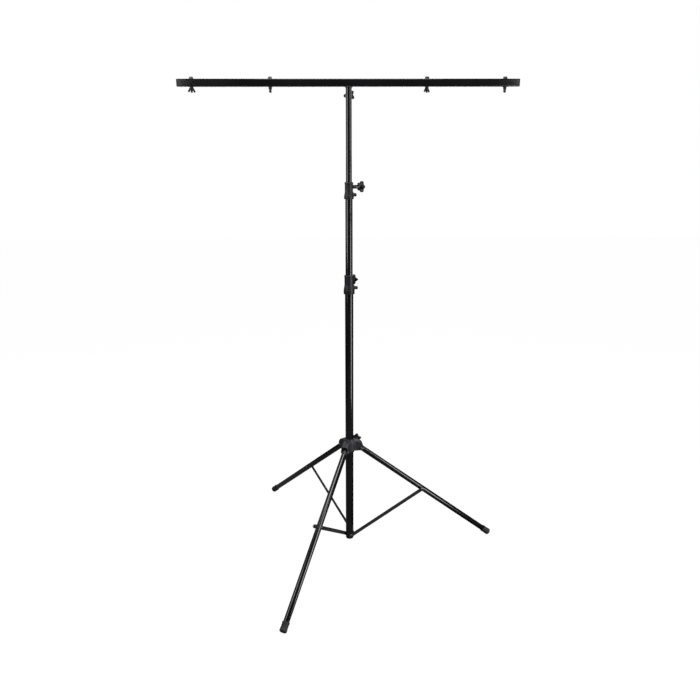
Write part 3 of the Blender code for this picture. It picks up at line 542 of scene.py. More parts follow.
def end_filled(target):
    """Close the open ends of a skin."""
    body = bmesh.new()
    body.from_mesh(target.data)
    bmesh.ops.holes_fill(body, edges=[edge for edge in body.edges if edge.is_boundary], sides=0)
    bmesh.ops.recalc_face_normals(body, faces=body.faces)
    body.to_mesh(target.data)
    body.free()
    return target


# %% Joining, carving and softening
def applied(target):
    """Replace a mesh by what its modifiers make of it."""
    bpy.context.view_layer.update()
    seen = target.evaluated_get(bpy.context.evaluated_depsgraph_get())
    mesh = bpy.data.meshes.new_from_object(seen)
    target.modifiers.clear()
    target.data = mesh
    return target


def boolean(target, others, operation):
    for other in others:
        step = target.modifiers.new(operation.lower(), "BOOLEAN")
        step.operation = operation
        step.solver = "EXACT"
        step.object = other
    applied(target)
    for other in others:
        bpy.data.objects.remove(other, do_unlink=True)
    return target


def fused(target, *others):
    return boolean(target, others, "UNION")


def carved(target, *others):
    return boolean(target, others, "DIFFERENCE")


def joined(name, *pieces):
    """Several closed shells as one object."""
    body = bmesh.new()
    for piece in pieces:
        body.from_mesh(piece.data)
        bpy.data.objects.remove(piece, do_unlink=True)
    mesh = bpy.data.meshes.new(name)
    body.to_mesh(mesh)
    body.free()
    made = bpy.data.objects.new(name, mesh)
    bpy.context.scene.collection.objects.link(made)
    return made


def softened(target, voxel, rounds):
    """Remesh a piece evenly and smooth it, so that every corner gets a small fillet as from a mould."""
    remesh = target.modifiers.new("remesh", "REMESH")
    remesh.mode = "VOXEL"
    remesh.voxel_size = voxel
    smooth = target.modifiers.new("smooth", "SMOOTH")
    smooth.factor = 0.5
    smooth.iterations = rounds
    return applied(target)


def measure_edges(target, full=math.radians(28), longest=0.012):
    """Store how sharply the surface turns outwards at each point, from 0 on a flat to 1 on an edge.

    A point at the end of a long face gets 0, because its value would spread over the whole face.
    """
    body = bmesh.new()
    body.from_mesh(target.data)
    values = []
    for vert in body.verts:
        sharpest = 0.0
        for edge in vert.link_edges:
            if len(edge.link_faces) == 2 and edge.is_convex:
                sharpest = max(sharpest, edge.calc_face_angle(0.0))
        if max((edge.calc_length() for edge in vert.link_edges), default=0) > longest:
            sharpest = 0.0
        values.append(min(sharpest / full, 1.0))
    body.free()
    attribute = target.data.attributes.new("edge", "FLOAT", "POINT")
    attribute.data.foreach_set("value", values)


def dressed(piece, name, finish, body, slot, *nodes, sharp=40):
    """Give a finished mesh its name, finish and body, and let it stand for its nodes. The slot is not used.
    """
    piece.name = name
    piece.data.name = name
    piece.data.materials.clear()
    piece.data.materials.append(finish)
    measure_edges(piece)
    piece.data.shade_smooth()
    piece.data.set_sharp_from_angle(angle=math.radians(sharp))
    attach(piece, body)
    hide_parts(*nodes)
    print(f"{name}: {len(piece.data.polygons)} faces")
    return piece


# %% [markdown]
# ## Trees for what repeats
# A thread, a ring of ribs and a tube are rules, not shapes: a few numbers describe them. Each gets a
# Geometry Nodes tree with named inputs. `grown` runs a tree once and keeps the plain mesh.

# %% Start, end and run a tree
def new_tree(name, inputs):
    """An empty tree with named inputs. Returns its maker and the inputs as sockets."""
    tree = bpy.data.node_groups.new(name, "GeometryNodeTree")
    for label, (kind, value) in inputs.items():
        socket = tree.interface.new_socket(label, in_out="INPUT", socket_type=f"NodeSocket{kind}")
        if value is not None:
            socket.default_value = value
    tree.interface.new_socket("Geometry", in_out="OUTPUT", socket_type="NodeSocketGeometry")
    maker = Maker(tree)
    entry = tree.nodes.new("NodeGroupInput")
    return maker, {label: Socket(maker, entry.outputs[label]) for label in inputs}


def end_tree(maker, geometry, finish):
    real = maker.add("GeometryNodeRealizeInstances", {}, [geometry])
    painted = maker.add("GeometryNodeSetMaterial", {}, {"Geometry": real, "Material": finish})
    leave = maker.tree.nodes.new("NodeGroupOutput")
    maker.tree.links.new(painted.link, leave.inputs[0])
    return maker.tree


def run_tree(carrier, tree, values):
    """Run a tree on an object with these inputs and keep the plain mesh."""
    step = carrier.modifiers.new("rule", "NODES")
    step.node_group = tree
    for item in tree.interface.items_tree:
        key = item.name.replace(" ", "_").lower()
        if item.in_out == "INPUT" and key in values:
            step[item.identifier] = values[key]
    return applied(carrier)


def grown(name, tree, matrix=Matrix(), **values):
    """The plain mesh that a tree makes with these inputs, on a matrix."""
    made = bpy.data.objects.new(name, bpy.data.meshes.new(name))
    bpy.context.scene.collection.objects.link(made)
    run_tree(made, tree, values)
    made.data.transform(matrix)
    return made


# %% [markdown]
# ### A tube
# A tube is a rectangle, as wide as the wall and as tall as the length, swept round a circle. Its corners
# are filleted first, so both ends are eased inside and outside. Washers, bushes and sleeves are short
# tubes.

# %% The tube tree
def swept_wall(maker, given, path):
    """The wall's section, with eased corners, swept round a path."""
    section = maker.add("GeometryNodeCurvePrimitiveQuadrilateral", {}, {
        "Width": given["Wall"], "Height": given["Length"]})
    eased = maker.add("GeometryNodeFilletCurve", {"mode": "POLY"}, {
        "Curve": section, "Radius": given["Edge"], "Count": 3})
    return maker.add("GeometryNodeCurveToMesh", {}, {"Curve": path, "Profile Curve": eased})


def raised_on_end(maker, given, geometry):
    """Lift a shape by half its length, so that it starts at height 0."""
    lift = maker.add("ShaderNodeCombineXYZ", {}, {"Z": given["Length"] * 0.5})
    return maker.add("GeometryNodeTransform", {}, {"Geometry": geometry, "Translation": lift})


def tube_tree():
    maker, given = new_tree("tube", {
        "Outer Radius": ("Float", 0.016), "Wall": ("Float", 0.0012), "Length": ("Float", 1.0),
        "Edge": ("Float", 0.0003), "Sides": ("Int", 96), "Finish": ("Material", None)})
    path = maker.add("GeometryNodeCurvePrimitiveCircle", {}, {
        "Resolution": given["Sides"], "Radius": given["Outer Radius"] - given["Wall"] * 0.5})
    return end_tree(maker, raised_on_end(maker, given, swept_wall(maker, given, path)), given["Finish"])


TUBE = tube_tree()

# %% [markdown]
# ### A screw thread
# On a thread, the radius depends on one number: the height in pitches less the angle in turns. The tree
# starts from a cylinder with many rings, works that number out at each point, folds it into a zigzag, and
# pushes the point in or out. The crests fade at the ends, as a die leaves them.

# %% The thread tree
def thread_tree():
    maker, given = new_tree("thread", {
        "Radius": ("Float", 0.004), "Pitch": ("Float", 0.00125), "Depth": ("Float", 0.0007),
        "Length": ("Float", 0.02), "Sides": ("Int", 28), "Finish": ("Material", None)})
    rings = given["Length"] / given["Pitch"] * 6
    rod = maker.add("GeometryNodeMeshCylinder", {}, {
        "Vertices": given["Sides"], "Side Segments": rings, "Radius": given["Radius"],
        "Depth": given["Length"]})
    place = maker.add("ShaderNodeSeparateXYZ", {}, [maker.add("GeometryNodeInputPosition")])
    height = maker.other(place, "Z")
    turns = maker.other(place, "Y").math("ARCTAN2", place) / math.tau
    ridge = (height / given["Pitch"] - turns).math("PINGPONG", 0.5) * 2
    from_end = (given["Length"] * 0.5 - height.math("ABSOLUTE")) / given["Pitch"]
    crest = ridge * from_end.between(0.0, 1.5)
    grow = 1 - given["Depth"] / given["Radius"] * (1 - crest)
    moved = maker.add("ShaderNodeCombineXYZ", {}, [place * grow, maker.other(place, "Y") * grow, height])
    shaped = maker.add("GeometryNodeSetPosition", {}, {"Geometry": rod, "Position": moved})
    return end_tree(maker, raised_on_end(maker, given, shaped), given["Finish"])


THREAD = thread_tree()

# %% [markdown]
# ### A ring of ribs
# Grips, fluted caps and weld beads are the same idea: one small rounded shape set out on a circle. The ribs
# may differ a little in size, with a fixed seed, because a weld is laid by hand and a moulded grip isn't.
# On a tube the circle is lifted over the tube's round back, which makes it a saddle.

# %% The rib tree
def rib_tree():
    maker, given = new_tree("ribs", {
        "Ring Radius": ("Float", 0.01), "Count": ("Int", 24), "Rib Radius": ("Float", 0.0008),
        "Rib Length": ("Float", 0.004), "Unevenness": ("Float", 0.0), "Seed": ("Int", 3),
        "Saddle": ("Float", 0.0), "Finish": ("Material", None)})
    ring = maker.add("GeometryNodeMeshCircle", {}, {
        "Vertices": given["Count"], "Radius": given["Ring Radius"]})
    place = maker.add("ShaderNodeSeparateXYZ", {}, [maker.add("GeometryNodeInputPosition")])
    across = maker.other(place, "Y")
    climb = (given["Saddle"] * given["Saddle"] - across * across).math("MAXIMUM", 0.0).math("SQRT")
    lift = maker.add("ShaderNodeCombineXYZ", {}, {"Z": climb})
    ring = maker.add("GeometryNodeSetPosition", {}, {"Geometry": ring, "Offset": lift})
    rib = maker.add("GeometryNodeMeshUVSphere", {}, {
        "Segments": 10, "Rings": 8, "Radius": given["Rib Radius"]})
    tall = maker.add("ShaderNodeCombineXYZ", {}, [1.0, 1.0, given["Rib Length"] / (given["Rib Radius"] * 2)])
    rib = maker.add("GeometryNodeTransform", {}, {"Geometry": rib, "Scale": tall})
    size = maker.add("FunctionNodeRandomValue", {"data_type": "FLOAT"}, {
        2: 1 - given["Unevenness"], 3: 1 + given["Unevenness"], "Seed": given["Seed"]}, 1)
    placed = maker.add("GeometryNodeInstanceOnPoints", {}, {"Points": ring, "Instance": rib, "Scale": size})
    return end_tree(maker, placed, given["Finish"])


RIBS = rib_tree()

# %% [markdown]
# ## The mast tubes
# Each tube of the mast is the tube rule with the radius and the ends of its node. The upper one also
# carries a welded boss for the clamp knob of the crossbar, so a short sleeve is fused to it and both are
# drilled.

# %% Measure a node in any frame
def reach(node, matrix, within=1.0):
    """A node's lowest and highest point along a matrix's Z, among its points within a distance of that Z."""
    inverse = matrix.inverted()
    places = [inverse @ vert.co for vert in frame["nodes"][node].data.vertices]
    heights = [place.z for place in places if math.hypot(place.x, place.y) < within]
    return min(heights), max(heights)


def rod(radius, low, high, matrix=Matrix(), sides=32):
    return turned("rod", [(0, low), (radius, low), (radius, high), (0, high)], matrix, sides)


# %% The three tubes
GAP = 0.0003
STUD_R = 0.0029
STUD_BORE = STUD_R + GAP
DRILL_PAST = 0.01
WELDED_BOSS_R = 0.0075
BEAD_R = 0.0011


def mast_tube(node, radius):
    low, high = span(node)
    return grown(node, TUBE, MAST @ Matrix.Translation((0, 0, low)), outer_radius=radius, wall=TUBE_WALL,
                 length=high - low, finish=MAST_COAT)


def tube_with_boss():
    """The upper tube with a sleeve welded to it for the clamp stud, and both drilled."""
    clamp = joint_frame("bar_knob_turn")
    low, high = span("upper_tube")
    end = reach("upper_tube", clamp)[1]
    inside = UPPER_R * 0.5
    sleeve = turned("sleeve", [
        (0, inside), (WELDED_BOSS_R, inside), (WELDED_BOSS_R, end, 0.0006), (0, end)], clamp, 48)
    solid = fused(rod(UPPER_R, low, high, MAST, 96), sleeve)
    carved(solid, rod(UPPER_R - TUBE_WALL, low - DRILL_PAST, high + DRILL_PAST, MAST, 96),
           rod(STUD_BORE, 0, end + DRILL_PAST, clamp))
    bead = grown("bead", RIBS, clamp, ring_radius=WELDED_BOSS_R + 0.0006, count=34, rib_radius=BEAD_R,
                 rib_length=0.002, unevenness=0.14, saddle=UPPER_R, finish=MAST_COAT)
    return joined("tube", solid, bead)


dressed(mast_tube("lower_tube", LOWER_R), "mast_tube_lower", MAST_COAT, "mast", "black_paint", "lower_tube")
dressed(mast_tube("mid_tube", MID_R), "mast_tube_middle", MAST_COAT, "mid_mast", "black_paint", "mid_tube")
dressed(tube_with_boss(), "mast_tube_upper", MAST_COAT, "top_mast", "black_paint", "upper_tube")

# %% [markdown]
# ## Bosses
# A moulded boss doesn't stand on a tube like a coin on a table. Its foot flares into the round surface. The
# skin is built ring by ring: near the foot each ring follows the carrier's curve, and towards the end it
# lies flat.

# %% A boss with a flared foot
FOOT_SUNK = 0.00004


def boss(matrix, carrier_r, radius, end, fillet, bore, sunk=0.0006, edge=0.0007, sides=64):
    """A round boss on an upright round carrier, in which its foot is sunk. Z runs out and X is up."""
    def ring(rho, lift, follow):
        points = []
        for i in range(sides):
            angle = math.tau * i / sides
            across = rho * math.sin(angle)
            foot = math.sqrt(max(carrier_r ** 2 - across ** 2, 0)) if follow else 0
            points.append((rho * math.cos(angle), across, foot + lift))
        return points

    rings = [ring(bore, -sunk, True), ring(radius + fillet, -sunk, True)]
    rings += [ring(radius + fillet * out, fillet * up - FOOT_SUNK, True) for out, up in quarter(6)]
    rings += [ring(radius - edge * up, end - edge * out, False) for out, up in quarter(3)]
    rings.append(ring(bore + edge * 0.5, end, False))
    rings.append(ring(bore, end - edge * 0.5, False))
    made = loft("boss", rings, closed=True)
    made.data.transform(matrix)
    return made


# %% [markdown]
# ## The collars
# A collar is pressed on the end of a tube, and the next tube slides in it. The knob's stud passes its boss
# and presses on the sliding tube. Below, a flare holds the outer tube, and a screw with a fluted cap stops
# the collar from turning. The lip, the waist and the flare are one turned profile.

# %% Collars, with their screws
COLLAR_WALL = 0.0016
COLLAR_LIP = 0.0025
COLLAR_RIM = 0.0008
COLLAR_RIM_TALL = 0.0042
COLLAR_RIM_FOOT = 0.0050
COLLAR_BAND = 0.0008
WAIST_TOP, WAIST_FOOT, BAND_UNDERCUT, BAND_TOP = 0.90, 0.52, 0.46, 0.43
BUSH_WALL = 0.0012
COLLAR_BOSS_R = 0.0072
PEG_R = 0.0065
PEG_SCREW_R = PEG_R * 0.35


def collar(name, body, outer_tube, outer_r, inner_r):
    node = f"{name}_collar"
    low, high = span(node)
    tube_top = span(outer_tube)[1]
    grip = tube_top - low
    flare_r = MAST.translation.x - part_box(node)[0].x
    body_r = outer_r + COLLAR_WALL
    bush_r = inner_r + BUSH_WALL + 2 * GAP
    lip = high - COLLAR_LIP
    rim_r = body_r + COLLAR_RIM
    waist_r = flare_r - COLLAR_BAND
    skin = turned("skin", [
        (inner_r + GAP, lip), (inner_r + GAP, high, 0.0004), (rim_r, high, 0.0012),
        (rim_r, lip - COLLAR_RIM_TALL, 0.0005), (body_r, lip - COLLAR_RIM_FOOT, 0.0006),
        (body_r, low + grip * WAIST_TOP, 0.010), (waist_r, low + grip * WAIST_FOOT, 0.004),
        (waist_r, low + grip * BAND_UNDERCUT, 0.0003), (flare_r, low + grip * BAND_TOP, 0.0005),
        (flare_r, low, 0.0018), (outer_r + GAP, low, 0.0003),
        (outer_r + GAP, tube_top + GAP), (bush_r, tube_top + GAP), (bush_r, lip)], MAST, 96)
    clamp = joint_frame(f"{name}_knob_turn")
    carved(skin, rod(STUD_BORE, 0, body_r + 0.003, clamp))
    boss_end = reach(node, clamp, COLLAR_BOSS_R)[1]
    peg_low, peg_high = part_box(f"{name}_collar_screw")
    peg_height = (peg_low.z + peg_high.z) / 2
    peg = along(MAST.translation + UP * peg_height, (1, 0, 0), UP)
    peg_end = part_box(node)[1].x - MAST.translation.x
    knob_boss = boss(clamp, body_r, COLLAR_BOSS_R, boss_end, 0.0016, STUD_BORE)
    peg_boss = boss(peg, flare_r - 0.0012, PEG_R, peg_end, 0.0034, PEG_SCREW_R + GAP, sunk=0.0026)
    whole = joined(node, skin, knob_boss, peg_boss)
    dressed(whole, f"{name}_collar_moulding", MOULDED, body, "dark_plastic", node)
    screw_end = reach(f"{name}_collar_screw", peg)[1]
    fluted_cap(name, body, peg, peg_low.x - MAST.translation.x, peg_end + GAP, screw_end)


def fluted_cap(name, body, peg, tip, seat, end):
    """The collar's fixing screw with its ribbed, domed cap."""
    length = end - seat
    cap_r = PEG_R * 0.90
    cap = turned("cap", [
        (0, tip), (PEG_SCREW_R, tip, 0.0003), (PEG_SCREW_R, seat), (cap_r, seat, 0.0005),
        (cap_r, seat + length * 0.62, 0.001), (cap_r * 0.93, seat + length * 0.80, 0.002),
        (cap_r * 0.5, end, 0.003), (0, end)], peg, 64)
    flute_place = peg @ Matrix.Translation((0, 0, seat + length * 0.34))
    flutes = grown("flutes", RIBS, flute_place, ring_radius=cap_r, count=20, rib_radius=0.0006,
                   rib_length=length * 0.55, finish=KNOB_PLASTIC)
    dressed(joined("cap", cap, flutes), f"{name}_collar_cap", KNOB_PLASTIC, body, "knob_plastic",
            f"{name}_collar_screw")


collar("lower", "mast", "lower_tube", LOWER_R, MID_R)
collar("upper", "mid_mast", "mid_tube", MID_R, UPPER_R)

# %% [markdown]
# ## Star knobs
# A star knob has five lobes for the fingers. In polar form its outline is one cosine: the radius swells and
# sinks five times a turn. Each ring of the skin is that outline, drawn in a little where an edge is
# rounded, and the top ring fades into a circle for the cap over the stud. A long neck joins the star to its
# boss.

# %% The knobs and their studs
KNOB_MIDDLE_R = 0.0174
KNOB_LOBE = 0.0033
KNOB_LOBES = 5
KNOB_THICK = 0.014
NECK_R = 0.0067
NECK_FLARE = 0.0023
NECK_FLARE_LENGTH = 0.006
KNOB_RECESS = 0.0012
KNOB_CAP = [(0.0012, 0.0090), (0.0012, 0.0085), (0.0004, 0.0081), (0.0, 0.0072), (0.0, 0.0030)]


def lobe_turn(node, clamp):
    """The angle of a lobe of the engineering star. The powers of its points add up along the lobes."""
    inverse = clamp.inverted()
    places = [inverse @ vert.co for vert in frame["nodes"][node].data.vertices]
    return cmath.phase(sum(complex(place.x, place.y) ** KNOB_LOBES for place in places)) / KNOB_LOBES


def knob(name):
    clamp = joint_frame(f"{name}_turn")
    clamp = clamp @ Matrix.Rotation(lobe_turn(f"{name}_star", clamp), 4, "Z")
    stem, top = reach(f"{name}_star", clamp)
    face = top - KNOB_THICK
    tip, stud_end = reach(f"{name}_stud", clamp)
    sides = KNOB_LOBES * 24

    def ring(height, inset=0.0, share=1.0, circle_r=0.0):
        """The lobed outline drawn in by inset, mixed with a circle where share is under 1."""
        points = []
        for i in range(sides):
            angle = math.tau * i / sides
            lobed = KNOB_MIDDLE_R + KNOB_LOBE * math.cos(KNOB_LOBES * angle) - inset
            radius = lobed * share + circle_r * (1 - share)
            points.append((radius * math.cos(angle), radius * math.sin(angle), height))
        return points

    rings = [[(0, 0, stud_end + GAP)], ring(stud_end + GAP, 0, 0, STUD_BORE), ring(stem, 0, 0, STUD_BORE),
             ring(stem, 0, 0, NECK_R - 0.0006), ring(stem + 0.0002, 0, 0, NECK_R - 0.0002),
             ring(stem + 0.0006, 0, 0, NECK_R)]
    rings += [ring(face - NECK_FLARE_LENGTH * out, 0, 0, NECK_R + NECK_FLARE * up) for out, up in quarter(6)]
    rings.append(ring(face + 0.0001, 0, 0.3, NECK_R + NECK_FLARE))
    rings += [ring(face + 0.0028 * up, 0.0030 * out) for out, up in quarter(5)]
    rings += [ring(top - KNOB_RECESS - 0.0032 * out, 0.0036 * up) for out, up in quarter(5)]
    rings += [ring(top - 0.0008, 0.0060), ring(top - 0.0007, 0, 0.25, 0.0092)]
    rings += [ring(top - drop, 0, 0, radius) for drop, radius in KNOB_CAP] + [[(0, 0, top)]]
    star = loft(name, rings)
    star.data.transform(clamp)
    dressed(star, f"{name}_grip", KNOB_PLASTIC, name, "knob_plastic", f"{name}_star")
    stud = grown(name, THREAD, clamp @ Matrix.Translation((0, 0, tip)), radius=STUD_R, pitch=0.001,
                 depth=0.00058, length=stud_end - tip, sides=24, finish=ZINC)
    dressed(stud, f"{name}_screw", ZINC, name, "blackened_steel", f"{name}_stud")


for knob_name in ("lower_knob", "upper_knob", "hub_knob", "bar_knob"):
    knob(knob_name)

# %% [markdown]
# ## The crossbar
# The bar is a square tube: the tube rule again, with a square path whose corners are rounded. The holes are
# drilled through both walls afterwards. A moulded cap closes each end.

# %% The square tube tree
def square_tube_tree():
    maker, given = new_tree("square_tube", {
        "Size": ("Float", 0.025), "Wall": ("Float", 0.0015), "Length": ("Float", 1.2),
        "Corner": ("Float", 0.0025), "Edge": ("Float", 0.0003), "Finish": ("Material", None)})
    middle = given["Size"] - given["Wall"]
    square = maker.add("GeometryNodeCurvePrimitiveQuadrilateral", {}, {"Width": middle, "Height": middle})
    path = maker.add("GeometryNodeFilletCurve", {"mode": "POLY"}, {
        "Curve": square, "Radius": given["Corner"] - given["Wall"] * 0.5, "Count": 6})
    return end_tree(maker, swept_wall(maker, given, path), given["Finish"])


SQUARE_TUBE = square_tube_tree()

# %% The bar and its caps
BAR_WALL = 0.0015
BAR_CORNER = 0.0025
BOLT_R = 0.0039
bar_low, bar_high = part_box("cross_bar")
BAR_SIZE = bar_high.z - bar_low.z
bar_middle = (bar_low + bar_high) / 2
bolt_places = [Vector(joints[f"wing_nut_{i}_turn"]["pos_m"]) for i in range(1, 5)]
bar_along = along(bar_middle, (1, 0, 0), UP)
bar = grown("bar", SQUARE_TUBE, bar_along, size=BAR_SIZE, wall=BAR_WALL, length=bar_high.x - bar_low.x,
            corner=BAR_CORNER, finish=BAR_COAT)
carved(bar, *[rod(BOLT_R + GAP, bar_low.z - DRILL_PAST, bar_high.z + DRILL_PAST,
                  Matrix.Translation((place.x, place.y, 0))) for place in bolt_places])
dressed(bar, "bar_tube", BAR_COAT, "crossbar", "black_paint", "cross_bar")


def rounded_square(size, corner, steps=6):
    """The outline of a square with round corners, anticlockwise."""
    half = size / 2 - corner
    points = []
    for quarter in range(4):
        angle = math.pi / 2 * quarter
        centre = Vector((half, half)) @ Matrix.Rotation(-angle, 2)
        for step in range(steps + 1):
            turn = angle + math.pi / 2 * step / steps
            points.append((centre.x + corner * math.cos(turn), centre.y + corner * math.sin(turn)))
    return points


def end_cap(side, sign):
    """A pressed-in cap: a flange as wide as the bar, and a plain plug inside it."""
    node = f"end_cap_{side}"
    inner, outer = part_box(node)
    if sign < 0:
        inner, outer = outer, inner
    frame_out = along(bar_middle, (sign, 0, 0), UP)
    seat = (bar_high.x - bar_low.x) / 2 + GAP
    end = abs(outer.x - bar_middle.x)
    start = abs(inner.x - bar_middle.x)
    flange_size = BAR_SIZE - 0.0002
    flange = extruded("flange", rounded_square(flange_size, BAR_CORNER), seat, end, 0.0009, frame_out)
    core_size = BAR_SIZE - 2 * BAR_WALL - 2 * GAP - 0.0016
    core = extruded("core", rounded_square(core_size, 0.0008), start, seat + 0.0004, 0.0004, frame_out)
    dressed(joined(node, flange, core), f"bar_cap_{side}", KNOB_PLASTIC, "crossbar", "knob_plastic", node)


end_cap("left", -1)
end_cap("right", 1)

# %% [markdown]
# ## The spigot
# A sleeve under the bar drops into the upper tube. Its flange is welded to the bar, so a bead runs round
# it: the rib rule with a little unevenness.

# %% The spigot and its weld
spigot_low, spigot_high = span("bar_spigot")
flange_r = round_radius("bar_spigot")
FLANGE = 0.003
SPIGOT_WALL = 0.002
rim_r = flange_r - 0.0004
spigot_r = UPPER_R - TUBE_WALL - GAP
flange_low = spigot_high - FLANGE
spigot = turned("spigot", [
    (0, spigot_high), (rim_r, spigot_high, 0.0004), (rim_r, flange_low, 0.0009),
    (spigot_r, flange_low, 0.0004), (spigot_r, spigot_low, 0.0004),
    (spigot_r - SPIGOT_WALL, spigot_low, 0.0004), (spigot_r - SPIGOT_WALL, flange_low),
    (0, flange_low)], MAST, 80)
spigot_bead = grown("bead", RIBS, MAST @ Matrix.Translation((0, 0, spigot_high - 0.0002)),
                    ring_radius=flange_r - 0.0006, count=56, rib_radius=BEAD_R, rib_length=0.0018,
                    unevenness=0.16, seed=7, finish=MAST_COAT)
dressed(joined("spigot", spigot, spigot_bead), "bar_spigot_welded", MAST_COAT, "crossbar", "black_paint",
        "bar_spigot")

# %% [markdown]
# ## Bolts and washers
# A hexagon head is a hexagonal prism whose top corners are turned off by a cone. We walk round it in small
# steps: the radius follows the flats, and the rim drops where the radius passes the cone. The same rule
# makes the nuts.

# %% Hexagons
CHAMFER_SHARE = 0.97
CHAMFER_LEAN = math.radians(30)


def hexagon(name, flats, low, high, matrix=Matrix(), both=False, sides=72):
    """A hexagon head or nut with turned-off corners, on a matrix's Z."""
    chamfer_r = flats / 2 * CHAMFER_SHARE
    slope = math.tan(CHAMFER_LEAN)

    def ring(height, end=0):
        points = []
        for i in range(sides):
            angle = math.tau * (i + 0.5) / sides
            from_flat = (angle + math.pi / 6) % (math.pi / 3) - math.pi / 6
            radius = flats / 2 / math.cos(from_flat)
            drop = (radius - chamfer_r) * slope * end
            points.append((radius * math.cos(angle), radius * math.sin(angle), height - drop))
        return points

    rings = [level_ring(chamfer_r, low, sides, 0.5), ring(low, -1)] if both else [ring(low)]
    rings += [ring(high, 1), level_ring(chamfer_r, high, sides, 0.5)]
    made = loft(name, [[(0, 0, low)]] + rings + [[(0, 0, high)]])
    made.data.transform(matrix)
    return made


# %% [markdown]
# The four bolts hang head up, and no two heads stand at the same angle. One bolt is made, and a tree sets
# it out on the four holes with a turn of its own for each.

# %% The tree that sets a piece out on points
def set_out_tree():
    maker, given = new_tree("set_out", {
        "Places": ("Geometry", None), "Piece": ("Object", None), "Seed": ("Int", 5),
        "Finish": ("Material", None)})
    piece = maker.add(
        "GeometryNodeObjectInfo", {"transform_space": "ORIGINAL"}, {"Object": given["Piece"]}, "Geometry")
    turn = maker.add("FunctionNodeRandomValue", {"data_type": "FLOAT"}, {
        2: 0.0, 3: math.tau, "Seed": given["Seed"]}, 1)
    about_z = maker.add("ShaderNodeCombineXYZ", {}, {"Z": turn})
    placed = maker.add("GeometryNodeInstanceOnPoints", {}, {
        "Points": given["Places"], "Instance": piece, "Rotation": about_z})
    return end_tree(maker, placed, given["Finish"])


SET_OUT = set_out_tree()


def set_out(name, piece, places, finish):
    """Copies of a piece on a list of places, as one mesh. The pattern piece is used up."""
    body = bmesh.new()
    for place in places:
        body.verts.new(place)
    carrier = new_object(name, body)
    run_tree(carrier, SET_OUT, {"piece": piece, "finish": finish})
    bpy.data.objects.remove(piece, do_unlink=True)
    return carrier


# %% The hanging bolts
BOLT_FLATS = 0.013
WASHER_R = 0.0085
WASHER_THICK = 0.0016
bolt_low, bolt_high = span("hanging_bolt_1")
washer_low = bar_high.z + GAP
head_low = washer_low + WASHER_THICK
washer = grown("washer", TUBE, Matrix.Translation((0, 0, washer_low)), outer_radius=WASHER_R,
               wall=WASHER_R - BOLT_R - GAP, length=WASHER_THICK, edge=0.0004, sides=64, finish=ZINC)
shank = rod(BOLT_R, bar_low.z + 0.002, head_low, sides=64)
bolt_head = hexagon("head", BOLT_FLATS, head_low, bolt_high)
bolt_thread = grown("thread", THREAD, Matrix.Translation((0, 0, bolt_low)), radius=BOLT_R, pitch=0.00125,
                    depth=0.00075, length=bar_low.z + 0.004 - bolt_low, sides=32, finish=ZINC)
one_bolt = joined("bolt", washer, shank, bolt_head, bolt_thread)
bolts = set_out("bolts", one_bolt, [(place.x, place.y, 0) for place in bolt_places], BOLT_ZINC)
dressed(bolts, "lamp_bolts", BOLT_ZINC, "crossbar", "blackened_steel",
        *[f"hanging_bolt_{i}" for i in range(1, 5)])

# %% [markdown]
# ## Wing nuts
# A wing nut is forged: a short cone with two ears that grow out of it. Forging leaves no sharp inner
# corners, so the parts are fused, remeshed in small even cells and smoothed, which fills the corners as hot
# metal would.

# %% The wing nuts
WING_HUB_R = 0.0062
WING_HUB_TIP_R = 0.0050
WING_WASHER_R = 0.0074
WING_HUB_HEIGHT = 0.009
EAR_HALF_THICK = 0.0014
EAR_ROOT_OUT, EAR_ROOT_UP, EAR_ROOT_R = 0.0056, 0.0050, 0.0036
EAR_TIP_OUT, EAR_TIP_UP, EAR_TIP_R = 0.0113, 0.0138, 0.0034
FORGED_CELL = 0.00030


def capsule(first, first_r, second, second_r, steps=14):
    """The outline of two circles and their common tangents."""
    start = Vector(first)
    across = Vector(second) - start
    heading = math.atan2(across.y, across.x)
    lean = math.acos((first_r - second_r) / across.length)
    points = []
    for centre, radius, begin, end in (
            (start, first_r, heading + lean, heading + math.tau - lean),
            (Vector(second), second_r, heading - lean, heading + lean)):
        for i in range(steps + 1):
            angle = begin + (end - begin) * i / steps
            points.append((centre.x + radius * math.cos(angle), centre.y + radius * math.sin(angle)))
    return points


def wing_nut_pattern():
    """A wing nut whose Z points out of its ears, with its washer at the bottom."""
    cone = turned("cone", [(0, WASHER_THICK), (WING_HUB_R, WASHER_THICK, 0.0006),
                           (WING_HUB_TIP_R, WASHER_THICK + WING_HUB_HEIGHT, 0.001),
                           (0, WASHER_THICK + WING_HUB_HEIGHT)])
    upright = Matrix.Rotation(math.pi / 2, 4, "X")
    ears = []
    for sign in (-1, 1):
        outline = capsule((sign * EAR_ROOT_OUT, WASHER_THICK + EAR_ROOT_UP), EAR_ROOT_R,
                          (sign * EAR_TIP_OUT, WASHER_THICK + EAR_TIP_UP), EAR_TIP_R)
        ears.append(extruded("ear", outline, -EAR_HALF_THICK, EAR_HALF_THICK, 0.0006, upright))
    fused(cone, *ears)
    softened(cone, FORGED_CELL, 5)
    carved(cone, rod(BOLT_R + 0.0002, -0.01, 0.03, sides=48))
    washer = grown("washer", TUBE, outer_radius=WING_WASHER_R, wall=WING_WASHER_R - BOLT_R - GAP,
                   length=WASHER_THICK, edge=0.0004, sides=64, finish=ZINC)
    return joined("wing_nut", cone, washer)


def ears_direction(node, place):
    """The level direction in which a wing nut's ears spread."""
    far = max((vert.co - place for vert in frame["nodes"][node].data.vertices),
              key=lambda offset: math.hypot(offset.x, offset.y))
    return Vector((far.x, far.y, 0))


